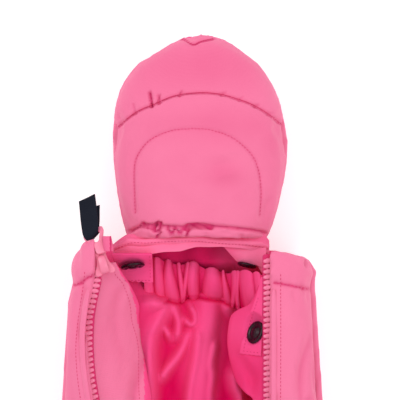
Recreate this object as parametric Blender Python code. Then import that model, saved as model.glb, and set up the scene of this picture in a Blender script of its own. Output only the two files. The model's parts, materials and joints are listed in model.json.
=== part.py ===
"""Baby snowsuit, laid flat on its back.

The long front zip is open from the neck to the hem of the left leg, and the
padded foot cover of that leg is drawn out past the hem. Every cut and sewn
piece is its own closed solid. +Y runs from the neck to the feet and +Z is up.
"""
import math
from collections import namedtuple

import bmesh
import bpy
from mathutils import Matrix, Vector

for item in list(bpy.data.objects):
    bpy.data.objects.remove(item, do_unlink=True)

# ---------------------------------------------------------------- sizes, mm
MM = 0.001
GAP = 0.3  # between neighbouring pieces
SPLAY = math.radians(9.0)  # lean of each leg away from the middle
HIP_Y = 120.0  # level where the legs are sewn to the body
HIP_X = 88.5  # middle of a leg at the hip
HEM_AT = 262.0  # hip to hem along a leg
BAND_WIDTH = 20.0  # stitched band at the hem
NECK_Y = -285.0
TOP_POWER = 2.8  # roundness of a tube's upper side
FLOOR_POWER = 5.0  # squareness of its resting side
FLAT = 0.8  # pressed off where it rests
LINING = 1.5
TAPE_WIDTH = 4.7
TAPE_THICK = 1.0
CHAIN_WIDTH = 3.4
CHAIN_HIGH = 2.6
TAPE_DOWN = (CHAIN_HIGH + TAPE_THICK) / 2 + GAP  # the tape runs under the chain
CHAIN_FROM = 249.0  # along the leg, where the chain leaves the slider

LegRow = namedtuple("LegRow", "along half height wall")
CLOSED_LEG = [
    LegRow(0.0, 88.0, 27.0, 13.0),
    LegRow(60.0, 84.0, 28.0, 13.5),
    LegRow(130.0, 78.0, 27.0, 13.0),
    LegRow(190.0, 72.5, 26.0, 12.5),
    LegRow(262.0, 67.0, 24.0, 11.5),
]
OPEN_LEG = [
    LegRow(0.0, 88.0, 27.0, 13.0),
    LegRow(50.0, 84.0, 33.0, 12.0),
    LegRow(100.0, 79.0, 46.0, 9.0),
    LegRow(140.0, 75.0, 59.0, 7.5),
    LegRow(178.0, 72.0, 66.0, 7.0),
    LegRow(222.0, 69.0, 68.0, 7.0),
    LegRow(262.0, 66.5, 64.0, 7.0),
]

# across is measured in the leg, from its middle, towards the other leg
ZipRow = namedtuple("ZipRow", "along outer inner")
LEG_ZIP = [
    ZipRow(0.0, 46.0, 62.0),
    ZipRow(45.0, 22.0, 47.0),
    ZipRow(90.0, -14.0, 42.0),
    ZipRow(135.0, -42.0, 44.5),
    ZipRow(178.0, -55.5, 45.3),
    ZipRow(205.0, -58.8, 45.3),
    ZipRow(228.0, -58.4, 45.3),
    ZipRow(240.0, -55.2, 45.3),
    ZipRow(250.0, -53.5, 45.3),
    ZipRow(262.0, -53.5, 45.3),
]

BodyRow = namedtuple("BodyRow", "along half height wall outer inner")
BODY = [  # along is the level, y; outer and inner are the two sides of the zip
    BodyRow(-285.0, 64.0, 23.0, 11.0, -8.2, 8.2),
    BodyRow(-270.0, 98.0, 25.0, 12.0, -8.2, 8.2),
    BodyRow(-255.0, 135.0, 27.0, 13.0, -8.2, 8.2),
    BodyRow(-242.0, 159.0, 28.0, 13.5, -8.2, 8.2),
    BodyRow(-230.0, 162.5, 30.0, 14.5, -8.2, 8.2),
    BodyRow(-182.0, 169.3, 32.0, 15.5, -8.2, 8.2),
    BodyRow(-134.0, 176.0, 33.0, 16.0, -8.2, 8.2),
    BodyRow(-115.0, 177.5, 33.0, 16.0, -8.2, 8.2),
    BodyRow(-40.0, 172.0, 32.0, 15.5, -8.5, 8.5),
    BodyRow(40.0, 170.0, 30.0, 14.5, -18.5, -1.0),
    BodyRow(120.0, 176.5, 27.0, 13.0, -42.5, -26.5),
]

SleeveRow = namedtuple("SleeveRow", "along x y turn half height wall")
SLEEVE = [  # of the +X side; turn is the angle of the width, in degrees
    SleeveRow(0.0, 169.4, -186.0, -98.0, 55.0, 26.0, 12.5),
    SleeveRow(60.0, 214.0, -150.0, -68.0, 59.0, 29.0, 14.0),
    SleeveRow(150.0, 272.0, -90.0, -42.0, 50.0, 27.0, 13.0),
    SleeveRow(240.0, 330.0, -22.0, -40.0, 43.0, 24.0, 11.5),
    SleeveRow(266.0, 347.0, -2.0, -40.0, 37.0, 19.0, 8.5),
]
CUFF_FROM, CUFF_TO = 242.0, 266.0
CUFF_COLUMNS = 20
CUFF_TUCK = 1.5  # the elastic draws the cuff in by this

HoodRow = namedtuple("HoodRow", "along half height wall edge")
HOOD = [  # along runs from the neck to the crown; edge is the face opening
    HoodRow(0.0, 66.0, 22.0, 10.5, 9.5),
    HoodRow(30.0, 90.0, 25.0, 12.0, 34.0),
    HoodRow(85.0, 106.0, 28.0, 13.5, 58.0),
    HoodRow(140.0, 104.0, 28.0, 13.5, 58.0),
    HoodRow(185.0, 82.0, 26.0, 12.5, 38.0),
    HoodRow(212.0, 48.0, 22.0, 10.5, 8.0),
    HoodRow(221.0, 24.0, 16.0, 7.5, 0.2),
]
HOOD_TO = HOOD[-1].along


def spread(first, last, count):
    return [first + (last - first) * k / (count - 1) for k in range(count)]


BODY_ALONGS = spread(HIP_Y, -225.0, 10) + [-240.0, -255.0, -270.0, NECK_Y]
LEG_ALONGS = spread(0.0, HEM_AT - BAND_WIDTH, 15)
BAND_ALONGS = spread(HEM_AT - BAND_WIDTH + GAP, HEM_AT, 5)


def power(value, exponent):
    return math.copysign(abs(value) ** exponent, value)


def smooth_at(rows, column, along):
    """Read one column of a table between its rows, on a smooth curve."""
    keys = [row.along for row in rows]
    vals = [getattr(row, column) for row in rows]
    if along <= keys[0]:
        return vals[0]
    if along >= keys[-1]:
        return vals[-1]
    i = max(k for k in range(len(keys) - 1) if keys[k] <= along)
    span = keys[i + 1] - keys[i]

    def slope(k):
        if k == 0 or k == len(keys) - 1:
            a, b = (0, 1) if k == 0 else (k - 1, k)
        else:
            a, b = k - 1, k + 1
        return (vals[b] - vals[a]) / (keys[b] - keys[a])

    t = (along - keys[i]) / span
    rise = vals[i + 1] - vals[i]
    m0, m1 = slope(i) * span, slope(i + 1) * span
    return vals[i] + t * (m0 + t * ((3 * rise - 2 * m0 - m1) + t * (m0 + m1 - 2 * rise)))


# ---------------------------------------------------------------- materials
COLOURS = {
    "shell": (0.94, 0.16, 0.36, 1.0),
    "lining": (0.80, 0.03, 0.17, 1.0),
    "fleece": (0.90, 0.13, 0.31, 1.0),
    "zip": (0.95, 0.22, 0.42, 1.0),
    "slider": (0.95, 0.10, 0.33, 1.0),
    "snap": (0.03, 0.004, 0.012, 1.0),
    "webbing": (0.010, 0.012, 0.030, 1.0),
}
ROUGHNESS = {"zip": 0.35, "slider": 0.3, "snap": 0.3}


def material(slot):
    found = bpy.data.materials.get(slot)
    if found:
        return found
    made = bpy.data.materials.new(slot)
    made.use_nodes = True
    shader = made.node_tree.nodes["Principled BSDF"]
    shader.inputs["Base Color"].default_value = COLOURS[slot]
    shader.inputs["Roughness"].default_value = ROUGHNESS.get(slot, 0.85)
    made.diffuse_color = COLOURS[slot]
    return made


# ---------------------------------------------------------------- solids
def finish(name, mesh, slot):
    bmesh.ops.recalc_face_normals(mesh, faces=mesh.faces[:])
    if mesh.calc_volume(signed=True) < 0.0:
        bmesh.ops.reverse_faces(mesh, faces=mesh.faces[:])
    data = bpy.data.meshes.new(name)
    mesh.to_mesh(data)
    mesh.free()
    data.materials.append(material(slot))
    data.shade_smooth()
    data.set_sharp_from_angle(angle=math.radians(50))
    made = bpy.data.objects.new(name, data)
    bpy.context.collection.objects.link(made)
    return made


def wall(name, outer, inner, slot, ring=False):
    """Close the space between two grids of points, in mm, into one solid."""
    mesh = bmesh.new()
    out = [[mesh.verts.new(Vector(p) * MM) for p in row] for row in outer]
    inn = [[mesh.verts.new(Vector(p) * MM) for p in row] for row in inner]
    rows, cols = len(out), len(out[0])
    steps = cols if ring else cols - 1
    for j in range(steps):
        k = (j + 1) % cols
        for i in range(rows - 1):
            mesh.faces.new((out[i][j], out[i][k], out[i + 1][k], out[i + 1][j]))
            mesh.faces.new((inn[i][j], inn[i + 1][j], inn[i + 1][k], inn[i][k]))
        mesh.faces.new((out[0][k], out[0][j], inn[0][j], inn[0][k]))
        mesh.faces.new((out[-1][j], out[-1][k], inn[-1][k], inn[-1][j]))
    if not ring:
        for i in range(rows - 1):
            mesh.faces.new((out[i][0], out[i + 1][0], inn[i + 1][0], inn[i][0]))
            mesh.faces.new((out[i + 1][-1], out[i][-1], inn[i][-1], inn[i + 1][-1]))
    return finish(name, mesh, slot)


def grid_normals(grid):
    """Unit normals of a grid of points, from the neighbours of each."""
    rows, cols = len(grid), len(grid[0])
    normals = []
    for i in range(rows):
        line = []
        for j in range(cols):
            along = grid[min(i + 1, rows - 1)][j] - grid[max(i - 1, 0)][j]
            across = grid[i][min(j + 1, cols - 1)] - grid[i][max(j - 1, 0)]
            line.append(along.cross(across).normalized())
        normals.append(line)
    return normals


def ribbon(name, grid, thick, slot, upright=False):
    """A thin strip around a grid of points, thick along its normals or upright."""
    normals = grid_normals(grid)
    if upright:
        normals = [[Vector((0, 0, 1))] * len(row) for row in grid]
    pairs = [list(zip(row, line)) for row, line in zip(grid, normals)]
    outer = [[p + n * (thick / 2) for p, n in row] for row in pairs]
    inner = [[p - n * (thick / 2) for p, n in row] for row in pairs]
    return wall(name, outer, inner, slot)


# ---------------------------------------------------------------- soft tubes
class Tube:
    """A soft tube that lies on the floor, flat below and crowned above.

    angle 0 is the side seam on the +across side, 90 degrees the top.
    """

    def __init__(self, rows, place):
        self.rows = rows
        self.place = place

    def size(self, column, along):
        return smooth_at(self.rows, column, along)

    def point(self, along, angle, depth, lift=0.0):
        """A point of the outline at this angle, moved in by depth."""
        high = self.size("height", along)
        cosine, sine = math.cos(angle), math.sin(angle)
        exponent = 2.0 / (TOP_POWER if sine >= 0 else FLOOR_POWER)
        across = (self.size("half", along) - depth) * power(cosine, exponent)
        up = high / 2 + (high / 2 - depth) * power(sine, exponent)
        if sine < 0:
            up = max(up - FLAT * abs(sine), depth, 0.0)
        centre, turn = self.place(along)
        return Vector((centre[0] + across * math.cos(turn),
                       centre[1] + across * math.sin(turn), up + lift))

    def angle_at(self, along, across, depth=0.0):
        """The angle at which the crowned side, moved in by depth, stands over this width."""
        share = max(-1.0, min(1.0, across / (self.size("half", along) - depth)))
        return math.acos(power(share, TOP_POWER / 2.0))

    def panel(self, name, alongs, angles, slot, depths=None, lift=0.0, ring=False):
        """One panel: angles(along, depth) lists its columns, depths its two faces."""
        outer, inner = [], []
        for along in alongs:
            shallow, deep = depths(along) if depths else (0.0, self.size("wall", along))
            outer.append([self.point(along, a, shallow, lift) for a in angles(along, shallow)])
            inner.append([self.point(along, a, deep, lift) for a in angles(along, deep)])
        return wall(name, outer, inner, slot, ring)


def leg_place(side):
    """Middle and turn of a leg's width; side is -1 for the wearer's left leg."""
    def place(along):
        bend = min(1.0, along / 60.0)
        turn = -side * SPLAY * bend * bend * (3 - 2 * bend)
        x = side * (HIP_X + along * math.sin(SPLAY))
        return (x, HIP_Y + GAP + along * math.cos(SPLAY)), turn
    return place


def sleeve_place(side):
    def place(along):
        turn = math.radians(smooth_at(SLEEVE, "turn", along))
        x, y = smooth_at(SLEEVE, "x", along), smooth_at(SLEEVE, "y", along)
        return (side * x, y), turn if side > 0 else math.pi - turn
    return place


left_leg = Tube(OPEN_LEG, leg_place(-1))
right_leg = Tube(CLOSED_LEG, leg_place(1))
body = Tube(BODY, lambda along: ((0.0, along), 0.0))
hood = Tube(HOOD, lambda along: ((0.0, NECK_Y - GAP - along), 0.0))

FLOOR_COLUMNS = 13
EDGE_COLUMNS = 7
TOP_HALF = (0.0, math.pi)
FLOOR_HALF = (math.pi, 2 * math.pi)


def half_panel(tube, name, alongs, half, columns, slot="shell", lift=0.0):
    return tube.panel(name, alongs, lambda along, depth: spread(*half, columns), slot, lift=lift)


def edge_panel(tube, name, alongs, seam, edge, columns, slot="shell", depths=None):
    """A front panel from a side seam to an edge that a table gives."""
    def angles(along, depth):
        return spread(seam, tube.angle_at(along, edge(along), depth), columns)
    return tube.panel(name, alongs, angles, slot, depths, lift=GAP)


# ---------------------------------------------------------------- the zip's line
def edge_of(rows, column):
    """One edge of the zip as a function of along."""
    return lambda along: smooth_at(rows, column, along)


leg_outer = edge_of(LEG_ZIP, "outer")
leg_inner = edge_of(LEG_ZIP, "inner")
body_outer = edge_of(BODY, "outer")
body_inner = edge_of(BODY, "inner")


def zip_line(side, start):
    """Points at mid wall along one edge, hem to neck, and the way inwards."""
    points, inwards = [], []
    leg_edge, body_edge = (leg_outer, body_outer) if side < 0 else (leg_inner, body_inner)
    turns = [start] + [along for along in reversed(LEG_ALONGS + BAND_ALONGS) if along < start - 2.0]
    for along in turns:
        deep = left_leg.size("wall", along) / 2
        angle = left_leg.angle_at(along, leg_edge(along), deep)
        points.append(left_leg.point(along, angle, deep, GAP))
        turn = left_leg.place(along)[1]
        inwards.append(Vector((-side * math.cos(turn), -side * math.sin(turn), 0.0)))
    for along in BODY_ALONGS[1:-1] + [NECK_Y + 2.0]:
        deep = body.size("wall", along) / 2
        angle = body.angle_at(along, body_edge(along), deep)
        points.append(body.point(along, angle, deep, GAP))
        inwards.append(Vector((-side, 0.0, 0.0)))
    return points, inwards


def strip_beside(side, first, width, rise):
    """Grid of a strip that begins just inside the zip's edge, first mm up the leg."""
    points, inwards = zip_line(side, first)
    grid = []
    for point, inward in zip(points, inwards):
        grid.append([point + inward * (GAP + width * q) + Vector((0, 0, rise)) for q in (0, 1)])
    return grid


# ---------------------------------------------------------------- body and legs
def build_body():
    half_panel(body, "torso_back", BODY_ALONGS, FLOOR_HALF, 11)
    edge_panel(body, "torso_front_left", BODY_ALONGS, math.pi, body_outer, 7)
    edge_panel(body, "torso_front_right", BODY_ALONGS, 0.0, body_inner, 7)


def build_legs():
    half_panel(left_leg, "leg_left_back", LEG_ALONGS, FLOOR_HALF, FLOOR_COLUMNS)
    edge_panel(left_leg, "leg_left_front_outer", LEG_ALONGS, math.pi, leg_outer, EDGE_COLUMNS)
    edge_panel(left_leg, "leg_left_front_inner", LEG_ALONGS, 0.0, leg_inner, EDGE_COLUMNS)
    alongs = spread(0.0, HEM_AT - BAND_WIDTH, 10)
    half_panel(right_leg, "leg_right_back", alongs, FLOOR_HALF, 11)
    half_panel(right_leg, "leg_right_front", alongs, TOP_HALF, 11, lift=GAP)


BAND_PUFF = 2.4
BAND_PINCH = 0.8  # drawn in at its two stitched edges


def band_depths(tube):
    """The hem's band: a soft roll that stands proud of the leg."""
    def depths(along):
        share = (along - HEM_AT + BAND_WIDTH) / BAND_WIDTH
        arch = math.sin(math.pi * min(max(share, 0.0), 1.0)) ** 0.6
        return BAND_PINCH - BAND_PUFF * arch, tube.size("wall", along)
    return depths


def build_hem_bands():
    depths = band_depths(left_leg)

    def floor(along, depth):
        return spread(*FLOOR_HALF, FLOOR_COLUMNS)

    def top(along, depth):
        return spread(*TOP_HALF, FLOOR_COLUMNS)

    left_leg.panel("hem_left_back", BAND_ALONGS, floor, "shell", depths)
    edge_panel(left_leg, "hem_left_outer", BAND_ALONGS, math.pi, leg_outer, EDGE_COLUMNS,
               depths=depths)
    edge_panel(left_leg, "hem_left_inner", BAND_ALONGS, 0.0, leg_inner, EDGE_COLUMNS,
               depths=depths)
    depths = band_depths(right_leg)
    right_leg.panel("hem_right_back", BAND_ALONGS, floor, "shell", depths)
    right_leg.panel("hem_right_front", BAND_ALONGS, top, "shell", depths, GAP)


# ---------------------------------------------------------------- sleeves, hood
def build_sleeves():
    for side, word in ((-1, "left"), (1, "right")):
        sleeve = Tube(SLEEVE, sleeve_place(side))
        alongs = spread(0.0, CUFF_FROM - GAP, 9)
        half_panel(sleeve, "sleeve_" + word + "_under", alongs, FLOOR_HALF, 9)
        half_panel(sleeve, "sleeve_" + word + "_upper", alongs, TOP_HALF, 9, lift=GAP)

        def depths(along, tube=sleeve):
            return CUFF_TUCK, tube.size("wall", along) - 1.0

        def ring(along, depth):
            return [2 * math.pi * k / CUFF_COLUMNS for k in range(CUFF_COLUMNS)]

        alongs = spread(CUFF_FROM, CUFF_TO, 4)
        sleeve.panel("cuff_" + word, alongs, ring, "shell", depths, ring=True)


def build_hood():
    alongs = spread(0.0, HOOD_TO, 11)
    half_panel(hood, "hood_back", alongs, FLOOR_HALF, 9)

    def edge(sign):
        return lambda along: sign * smooth_at(HOOD, "edge", along)

    edge_panel(hood, "hood_side_left", alongs, math.pi, edge(-1), 6)
    edge_panel(hood, "hood_side_right", alongs, 0.0, edge(1), 6)


# ---------------------------------------------------------------- foot covers
FootRow = namedtuple("FootRow", "along left right height")
FOOT = [  # along runs from the hem to the toes; the outline at half height
    FootRow(0.0, -32.0, 37.0, 44.0),
    FootRow(7.0, -33.6, 40.0, 46.0),
    FootRow(15.0, -35.5, 44.0, 48.0),
    FootRow(30.0, -40.0, 50.2, 51.0),
    FootRow(45.0, -42.6, 53.8, 53.0),
    FootRow(57.0, -43.4, 55.0, 53.5),
    FootRow(70.0, -43.1, 53.2, 53.0),
    FootRow(83.0, -41.4, 50.4, 51.0),
    FootRow(95.0, -36.8, 45.2, 46.0),
    FootRow(104.0, -30.0, 38.8, 40.0),
    FootRow(112.5, -17.3, 29.0, 36.0),
    FootRow(117.5, -7.5, 20.5, 31.0),
    FootRow(121.0, 0.0, 11.0, 26.0),
]
SeamPoint = namedtuple("SeamPoint", "across along")
TOE_SEAM = [SeamPoint(-41.4, 68.6), SeamPoint(-30.8, 77.0), SeamPoint(-19.6, 82.0),
            SeamPoint(-8.4, 86.5), SeamPoint(5.6, 88.2), SeamPoint(16.8, 87.4),
            SeamPoint(25.2, 85.1), SeamPoint(33.6, 82.2), SeamPoint(43.1, 77.0),
            SeamPoint(52.6, 70.0)]
VAMP_SEAM = [SeamPoint(-30.6, 15.5), SeamPoint(-31.2, 30.0), SeamPoint(-31.4, 44.8),
             SeamPoint(-29.4, 53.2), SeamPoint(-22.4, 61.6), SeamPoint(-11.2, 66.6),
             SeamPoint(0.0, 67.8), SeamPoint(11.2, 67.2), SeamPoint(23.5, 63.0),
             SeamPoint(33.6, 54.6), SeamPoint(38.1, 45.9), SeamPoint(39.9, 33.6),
             SeamPoint(38.9, 14.5)]
ANKLE_LEFT, ANKLE_RIGHT = SeamPoint(-29.0, 15.5), SeamPoint(38.0, 13.0)
SIDE_COLUMNS, TOE_COLUMNS = 3, 13
FOOT_MIDDLE = (4.5, 40.0)  # across and along; seams open away from it
FOOT_END = 122.5
RIM_LEFT, RIM_RIGHT = (15.5, 68.3), (69.7, 14.0)  # levels at the two ends of each side
TIP_LEFT, TIP_RIGHT = (70.5, 116.0), (116.0, 71.5)
TIP = [SeamPoint(-3.8, 119.63), SeamPoint(6.0, 121.6), SeamPoint(15.8, 119.63)]
ELASTIC = SeamPoint(-35.4, 15.2), SeamPoint(43.3, 12.5)  # the drawn-in edge at the ankle
ELASTIC_COLUMNS = 25
ELASTIC_WAVE, TOE_WAVE = 1.2, 0.7
SOLE_ALONGS = [0.6, 12.0] + spread(26.0, 121.0, 9)
SOLE_SHARES = (-1.0, -0.95, -0.8, -0.45, 0.0, 0.45, 0.8, 0.95, 1.0)
TOE_FROM = 60.0  # where the sole begins to turn up towards the toes
OPEN_SEAM = 21.0  # height of the sole's seam on the rounded foot cover
FootShape = namedtuple("FootShape", "seam wall fullness ankle")
OPEN_FOOT = FootShape(OPEN_SEAM, 8.0, 1.0, 10.8)
FLAT_FOOT = FootShape(11.0, 9.6, 0.36, 1.0)  # its panels lie on each other
SEAM_DIP = 1.6


def polyline_at(points, share):
    """A place on a smooth curve through points, at a share of its length."""
    keys = [0.0]
    for a, b in zip(points, points[1:]):
        keys.append(keys[-1] + math.dist(a, b))
    row = namedtuple("row", "along across up")
    table = [row(key / keys[-1], p[0], p[1]) for key, p in zip(keys, points)]
    return smooth_at(table, "across", share), smooth_at(table, "up", share)


class Foot:
    """A padded foot cover: an upper in three pieces over a flat sole."""

    def __init__(self, place, across_sign, shape):
        self.place = place
        self.across_sign = across_sign
        self.shape = shape
        self.rim_up = shape.seam + GAP

    def edge(self, along, side):
        return smooth_at(FOOT, "right" if side > 0 else "left", along)

    def crown(self, across, along, deep):
        """Height of the upper over a place in the plan, moved in by deep."""
        rise = (smooth_at(FOOT, "height", along) - OPEN_SEAM) * self.shape.fullness - deep
        left, right = self.edge(along, -1), self.edge(along, 1)
        middle, half = (left + right) / 2, (right - left) / 2
        share = min(1.0, abs(across - middle) / half)
        return self.rim_up + max(0.0, rise) * (1 - share ** 2.6) ** (1 / 2.2)

    def world(self, across, along, up):
        centre, turn = self.place(HEM_AT)
        across *= self.across_sign
        along_x, along_y = -math.sin(turn), math.cos(turn)
        return Vector((centre[0] + across * math.cos(turn) + along * along_x,
                       centre[1] + across * math.sin(turn) + along * along_y, up))

    def inward(self, across, along, deep):
        """Draw a place in the plan in by deep, towards the foot's middle."""
        left, right = self.edge(along, -1), self.edge(along, 1)
        middle, half = (left + right) / 2, (right - left) / 2
        squeeze = max(0.1, (half - deep) / half)
        back = deep * max(0.0, (along - 40.0) / (FOOT_END - 40.0))
        return middle + (across - middle) * squeeze, along - back

    def piece(self, name, starts, ends, rows, slot, dips=(0.0, 0.0), gather=0.0):
        """A piece of the upper between two seams, each a list of places."""
        outer, inner = [], []
        for i in range(rows):
            share = i / (rows - 1)
            out_row, in_row = [], []
            dip = dips[0] * (1 - share) ** 6 + dips[1] * share ** 6
            for j, (a, b) in enumerate(zip(starts, ends)):
                across = a[0] + (b[0] - a[0]) * share
                along = a[1] + (b[1] - a[1]) * share
                pleat = gather * (1 - share) ** 2 * (0.5 - 0.5 * math.cos(math.pi * j))
                up = max(self.crown(across, along, 0.0) - dip - pleat, self.rim_up)
                out_row.append(self.world(across, along, up))
                deep = self.shape.wall - dip
                across_in, along_in = self.inward(across, along, deep)
                level = min(self.crown(across, along, self.shape.wall), up - 2.0)
                in_row.append(self.world(across_in, along_in, max(level, self.rim_up)))
            outer.append(out_row)
            inner.append(in_row)
        return wall(name, outer, inner, slot)

    def outline(self, first, last, side, count):
        return [(self.edge(along, side), along) for along in spread(first, last, count)]


def shifted(points, across, along):
    return [(p[0] + across, p[1] + along) for p in points]


def straight(a, b, count):
    return [(a[0] + (b[0] - a[0]) * q, a[1] + (b[1] - a[1]) * q) for q in spread(0.0, 1.0, count)]


def drawn(points, amount):
    """Draw places in the plan towards the foot's middle, or out where negative."""
    made = []
    for across, along in points:
        reach = math.hypot(across - FOOT_MIDDLE[0], along - FOOT_MIDDLE[1])
        keep = (reach - amount) / reach
        made.append((FOOT_MIDDLE[0] + (across - FOOT_MIDDLE[0]) * keep,
                     FOOT_MIDDLE[1] + (along - FOOT_MIDDLE[1]) * keep))
    return made


def build_upper(word, foot):
    columns = 2 * SIDE_COLUMNS + TOE_COLUMNS
    vamp = [polyline_at(VAMP_SEAM, share) for share in spread(0.0, 1.0, columns)]
    ankle = straight(ANKLE_LEFT, ANKLE_RIGHT, columns)
    foot.piece("foot_" + word + "_vamp", ankle, drawn(vamp, GAP), 5, "shell", (0.0, SEAM_DIP))

    toe = [polyline_at(TOE_SEAM, share) for share in spread(0.0, 1.0, TOE_COLUMNS)]
    left = foot.outline(*RIM_LEFT, -1, SIDE_COLUMNS + 1)[:-1]
    right = foot.outline(*RIM_RIGHT, 1, SIDE_COLUMNS + 1)[1:]
    rim = left + shifted(toe, 0.0, -GAP) + right
    foot.piece("foot_" + word + "_side", drawn(vamp, -GAP), rim, 4, "shell", (SEAM_DIP, 0.6))

    reach = (TOE_COLUMNS - len(TIP)) // 2
    tip = foot.outline(*TIP_LEFT, -1, reach) + TIP + foot.outline(*TIP_RIGHT, 1, reach)
    foot.piece("foot_" + word + "_toe", toe, tip, 6, "shell", (SEAM_DIP, 0.0), gather=TOE_WAVE)

    level = foot.shape.ankle
    ends = (foot.edge(level, -1), level), (foot.edge(level, 1), level)
    foot.piece("foot_" + word + "_ankle", straight(*ELASTIC, ELASTIC_COLUMNS),
               straight(*ends, ELASTIC_COLUMNS), 3, "shell", gather=ELASTIC_WAVE)


def build_sole(word, foot):
    outer, inner = [], []
    for along in SOLE_ALONGS:
        out_row, in_row = [], []
        for share in SOLE_SHARES:
            left, right = foot.edge(along, -1), foot.edge(along, 1)
            across = (left + right) / 2 + share * (right - left) / 2
            toe_share = max(0.0, (along - TOE_FROM) / (FOOT_END - TOE_FROM))
            turned = min(1.0, share ** 4 + toe_share ** 4)
            bowl = (1.0 - turned) ** 0.25
            low = max(0.0, foot.shape.seam * (1.0 - bowl) - FLAT * bowl)
            out_row.append(foot.world(across, along, low))
            across_in, along_in = foot.inward(across, along, foot.shape.wall)
            high = foot.shape.seam - (foot.shape.seam - foot.shape.wall) * bowl
            in_row.append(foot.world(across_in, along_in, high))
        outer.append(out_row)
        inner.append(in_row)
    wall("foot_" + word + "_sole", outer, inner, "shell")


# ---------------------------------------------------------------- inside the open leg
def leg_world(across, along, up):
    """A place in the left leg: across it, beyond (+) or within (-) the hem."""
    centre, turn = left_leg.place(HEM_AT + along)
    return Vector((centre[0] + across * math.cos(turn), centre[1] + across * math.sin(turn), up))


FacingRow = namedtuple("FacingRow", "along outer inner")
FACING = [  # width of each zip facing, measured from the chain
    FacingRow(60.0, 7.0, 6.0),
    FacingRow(90.0, 14.0, 9.0),
    FacingRow(130.0, 18.0, 13.0),
    FacingRow(178.0, 20.0, 6.0),
    FacingRow(190.0, 21.5, 15.0),
    FacingRow(202.0, 22.0, 19.0),
    FacingRow(222.0, 19.5, 18.5),
    FacingRow(232.0, 17.0, 12.0),
    FacingRow(248.0, 9.5, 6.0),
    FacingRow(256.0, 6.0, 4.0),
]
FACING_START = TAPE_WIDTH + 4 * GAP
FACING_DROP = 13.0
LINED_FROM = 6  # station of the open leg where its lining begins to show


def facing_point(side, along, across, lift=0.0):
    """A place on a zip facing, across mm from the chain."""
    edge = (leg_outer if side < 0 else leg_inner)(along)
    deep = left_leg.size("wall", along) / 2
    start = left_leg.point(along, left_leg.angle_at(along, edge, deep), deep, GAP)
    turn = left_leg.place(along)[1]
    reach = FACING_START + across
    drop = TAPE_DOWN + FACING_DROP * across / 22.0
    return start + Vector((-side * math.cos(turn) * reach, -side * math.sin(turn) * reach,
                           lift - drop))


FoldRow = namedtuple("FoldRow", "turn first last width high")
LINING_FOLDS = [  # turn is the angle round the leg, in degrees; 270 is the floor
    FoldRow(277.0, 110.0, 236.0, 9.0, 5.0),
    FoldRow(256.0, 205.0, 228.0, 7.0, 3.5),
    FoldRow(238.0, 150.0, 232.0, 9.0, 3.0),
    FoldRow(297.0, 130.0, 215.0, 8.0, 3.0),
]


def fold_lift(along, angle):
    """How far the lining's soft lengthwise folds lift it off the shell."""
    lift = 0.0
    for fold in LINING_FOLDS:
        middle, half = (fold.first + fold.last) / 2, (fold.last - fold.first) / 2
        fade = max(0.0, 1.0 - ((along - middle) / half) ** 2)
        lift += fold.high * fade * math.exp(-((math.degrees(angle) - fold.turn) / fold.width) ** 2)
    return lift


def build_lining():
    """The lining follows the three panels of the open leg, one layer in."""
    def angles(along, depth):
        outer = left_leg.angle_at(along, leg_outer(along), depth)
        inner = left_leg.angle_at(along, leg_inner(along), depth)
        return (spread(outer, math.pi, EDGE_COLUMNS)[:-1]
                + spread(*FLOOR_HALF, FLOOR_COLUMNS)
                + spread(2 * math.pi, 2 * math.pi + inner, EDGE_COLUMNS)[1:])

    outer, inner = [], []
    for along in LEG_ALONGS[LINED_FROM:]:
        start = left_leg.size("wall", along) + 2 * GAP
        for rows, depth in ((outer, start), (inner, start + LINING)):
            rows.append([left_leg.point(along, angle, depth, fold_lift(along, angle))
                         for angle in angles(along, depth)])
    wall("lining_left_leg", outer, inner, "lining")


def build_facings():
    for side, column, word in ((-1, "outer", "outer"), (1, "inner", "inner")):
        grid = []
        for along in LEG_ALONGS[4:] + BAND_ALONGS[1:2 if side < 0 else 4]:
            width = smooth_at(FACING, column, along)
            grid.append([facing_point(side, along, width * q) for q in (0.0, 0.33, 0.67, 1.0)])
        ribbon("facing_" + word, grid, LINING, "lining")


GaiterRow = namedtuple("GaiterRow", "along seam free base")
GAITER = [  # along runs across the leg; seam and free are levels from the hem
    GaiterRow(-20.0, -29.0, -5.0, 20.0),
    GaiterRow(-12.0, -30.0, -8.0, 13.6),
    GaiterRow(-2.0, -28.0, -9.5, 12.0),
    GaiterRow(10.0, -28.0, -12.0, 12.0),
    GaiterRow(22.0, -30.0, -13.4, 13.0),
    GaiterRow(32.0, -33.0, -13.2, 26.0),
    GaiterRow(39.5, -31.0, -14.0, 43.0),
]
GAITER_RISE = 11.0
GATHERS = 10
GATHER_WAVE = 1.6

TabRow = namedtuple("TabRow", "along left right up")
OUTER_TAB = [  # a short tab that folds up steeply where its snap sits
    TabRow(-17.6, -37.2, -21.0, 27.0),
    TabRow(-13.0, -38.5, -21.0, 28.5),
    TabRow(-10.0, -40.0, -21.0, 31.5),
    TabRow(-7.2, -41.5, -21.0, 36.5),
    TabRow(-4.6, -42.6, -21.0, 41.5),
    TabRow(-2.0, -43.0, -21.0, 43.5),
]
TAB_CURL = 2.0
InnerTab = namedtuple("InnerTab", "top low narrow wide lift")
INNER_TAB = InnerTab(247.0, 204.0, 1.5, 12.0, 2.4)  # along the leg, then widths from the chain


def snap_on(grid, row, column, name):
    """Seat a snap on a strip, at one point of its grid."""
    normal = grid_normals(grid)[row][column]
    if normal.z < 0:
        normal.negate()
    snap(name, grid[row][column] + normal * (LINING / 2 + 3 * GAP), normal)


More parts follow.
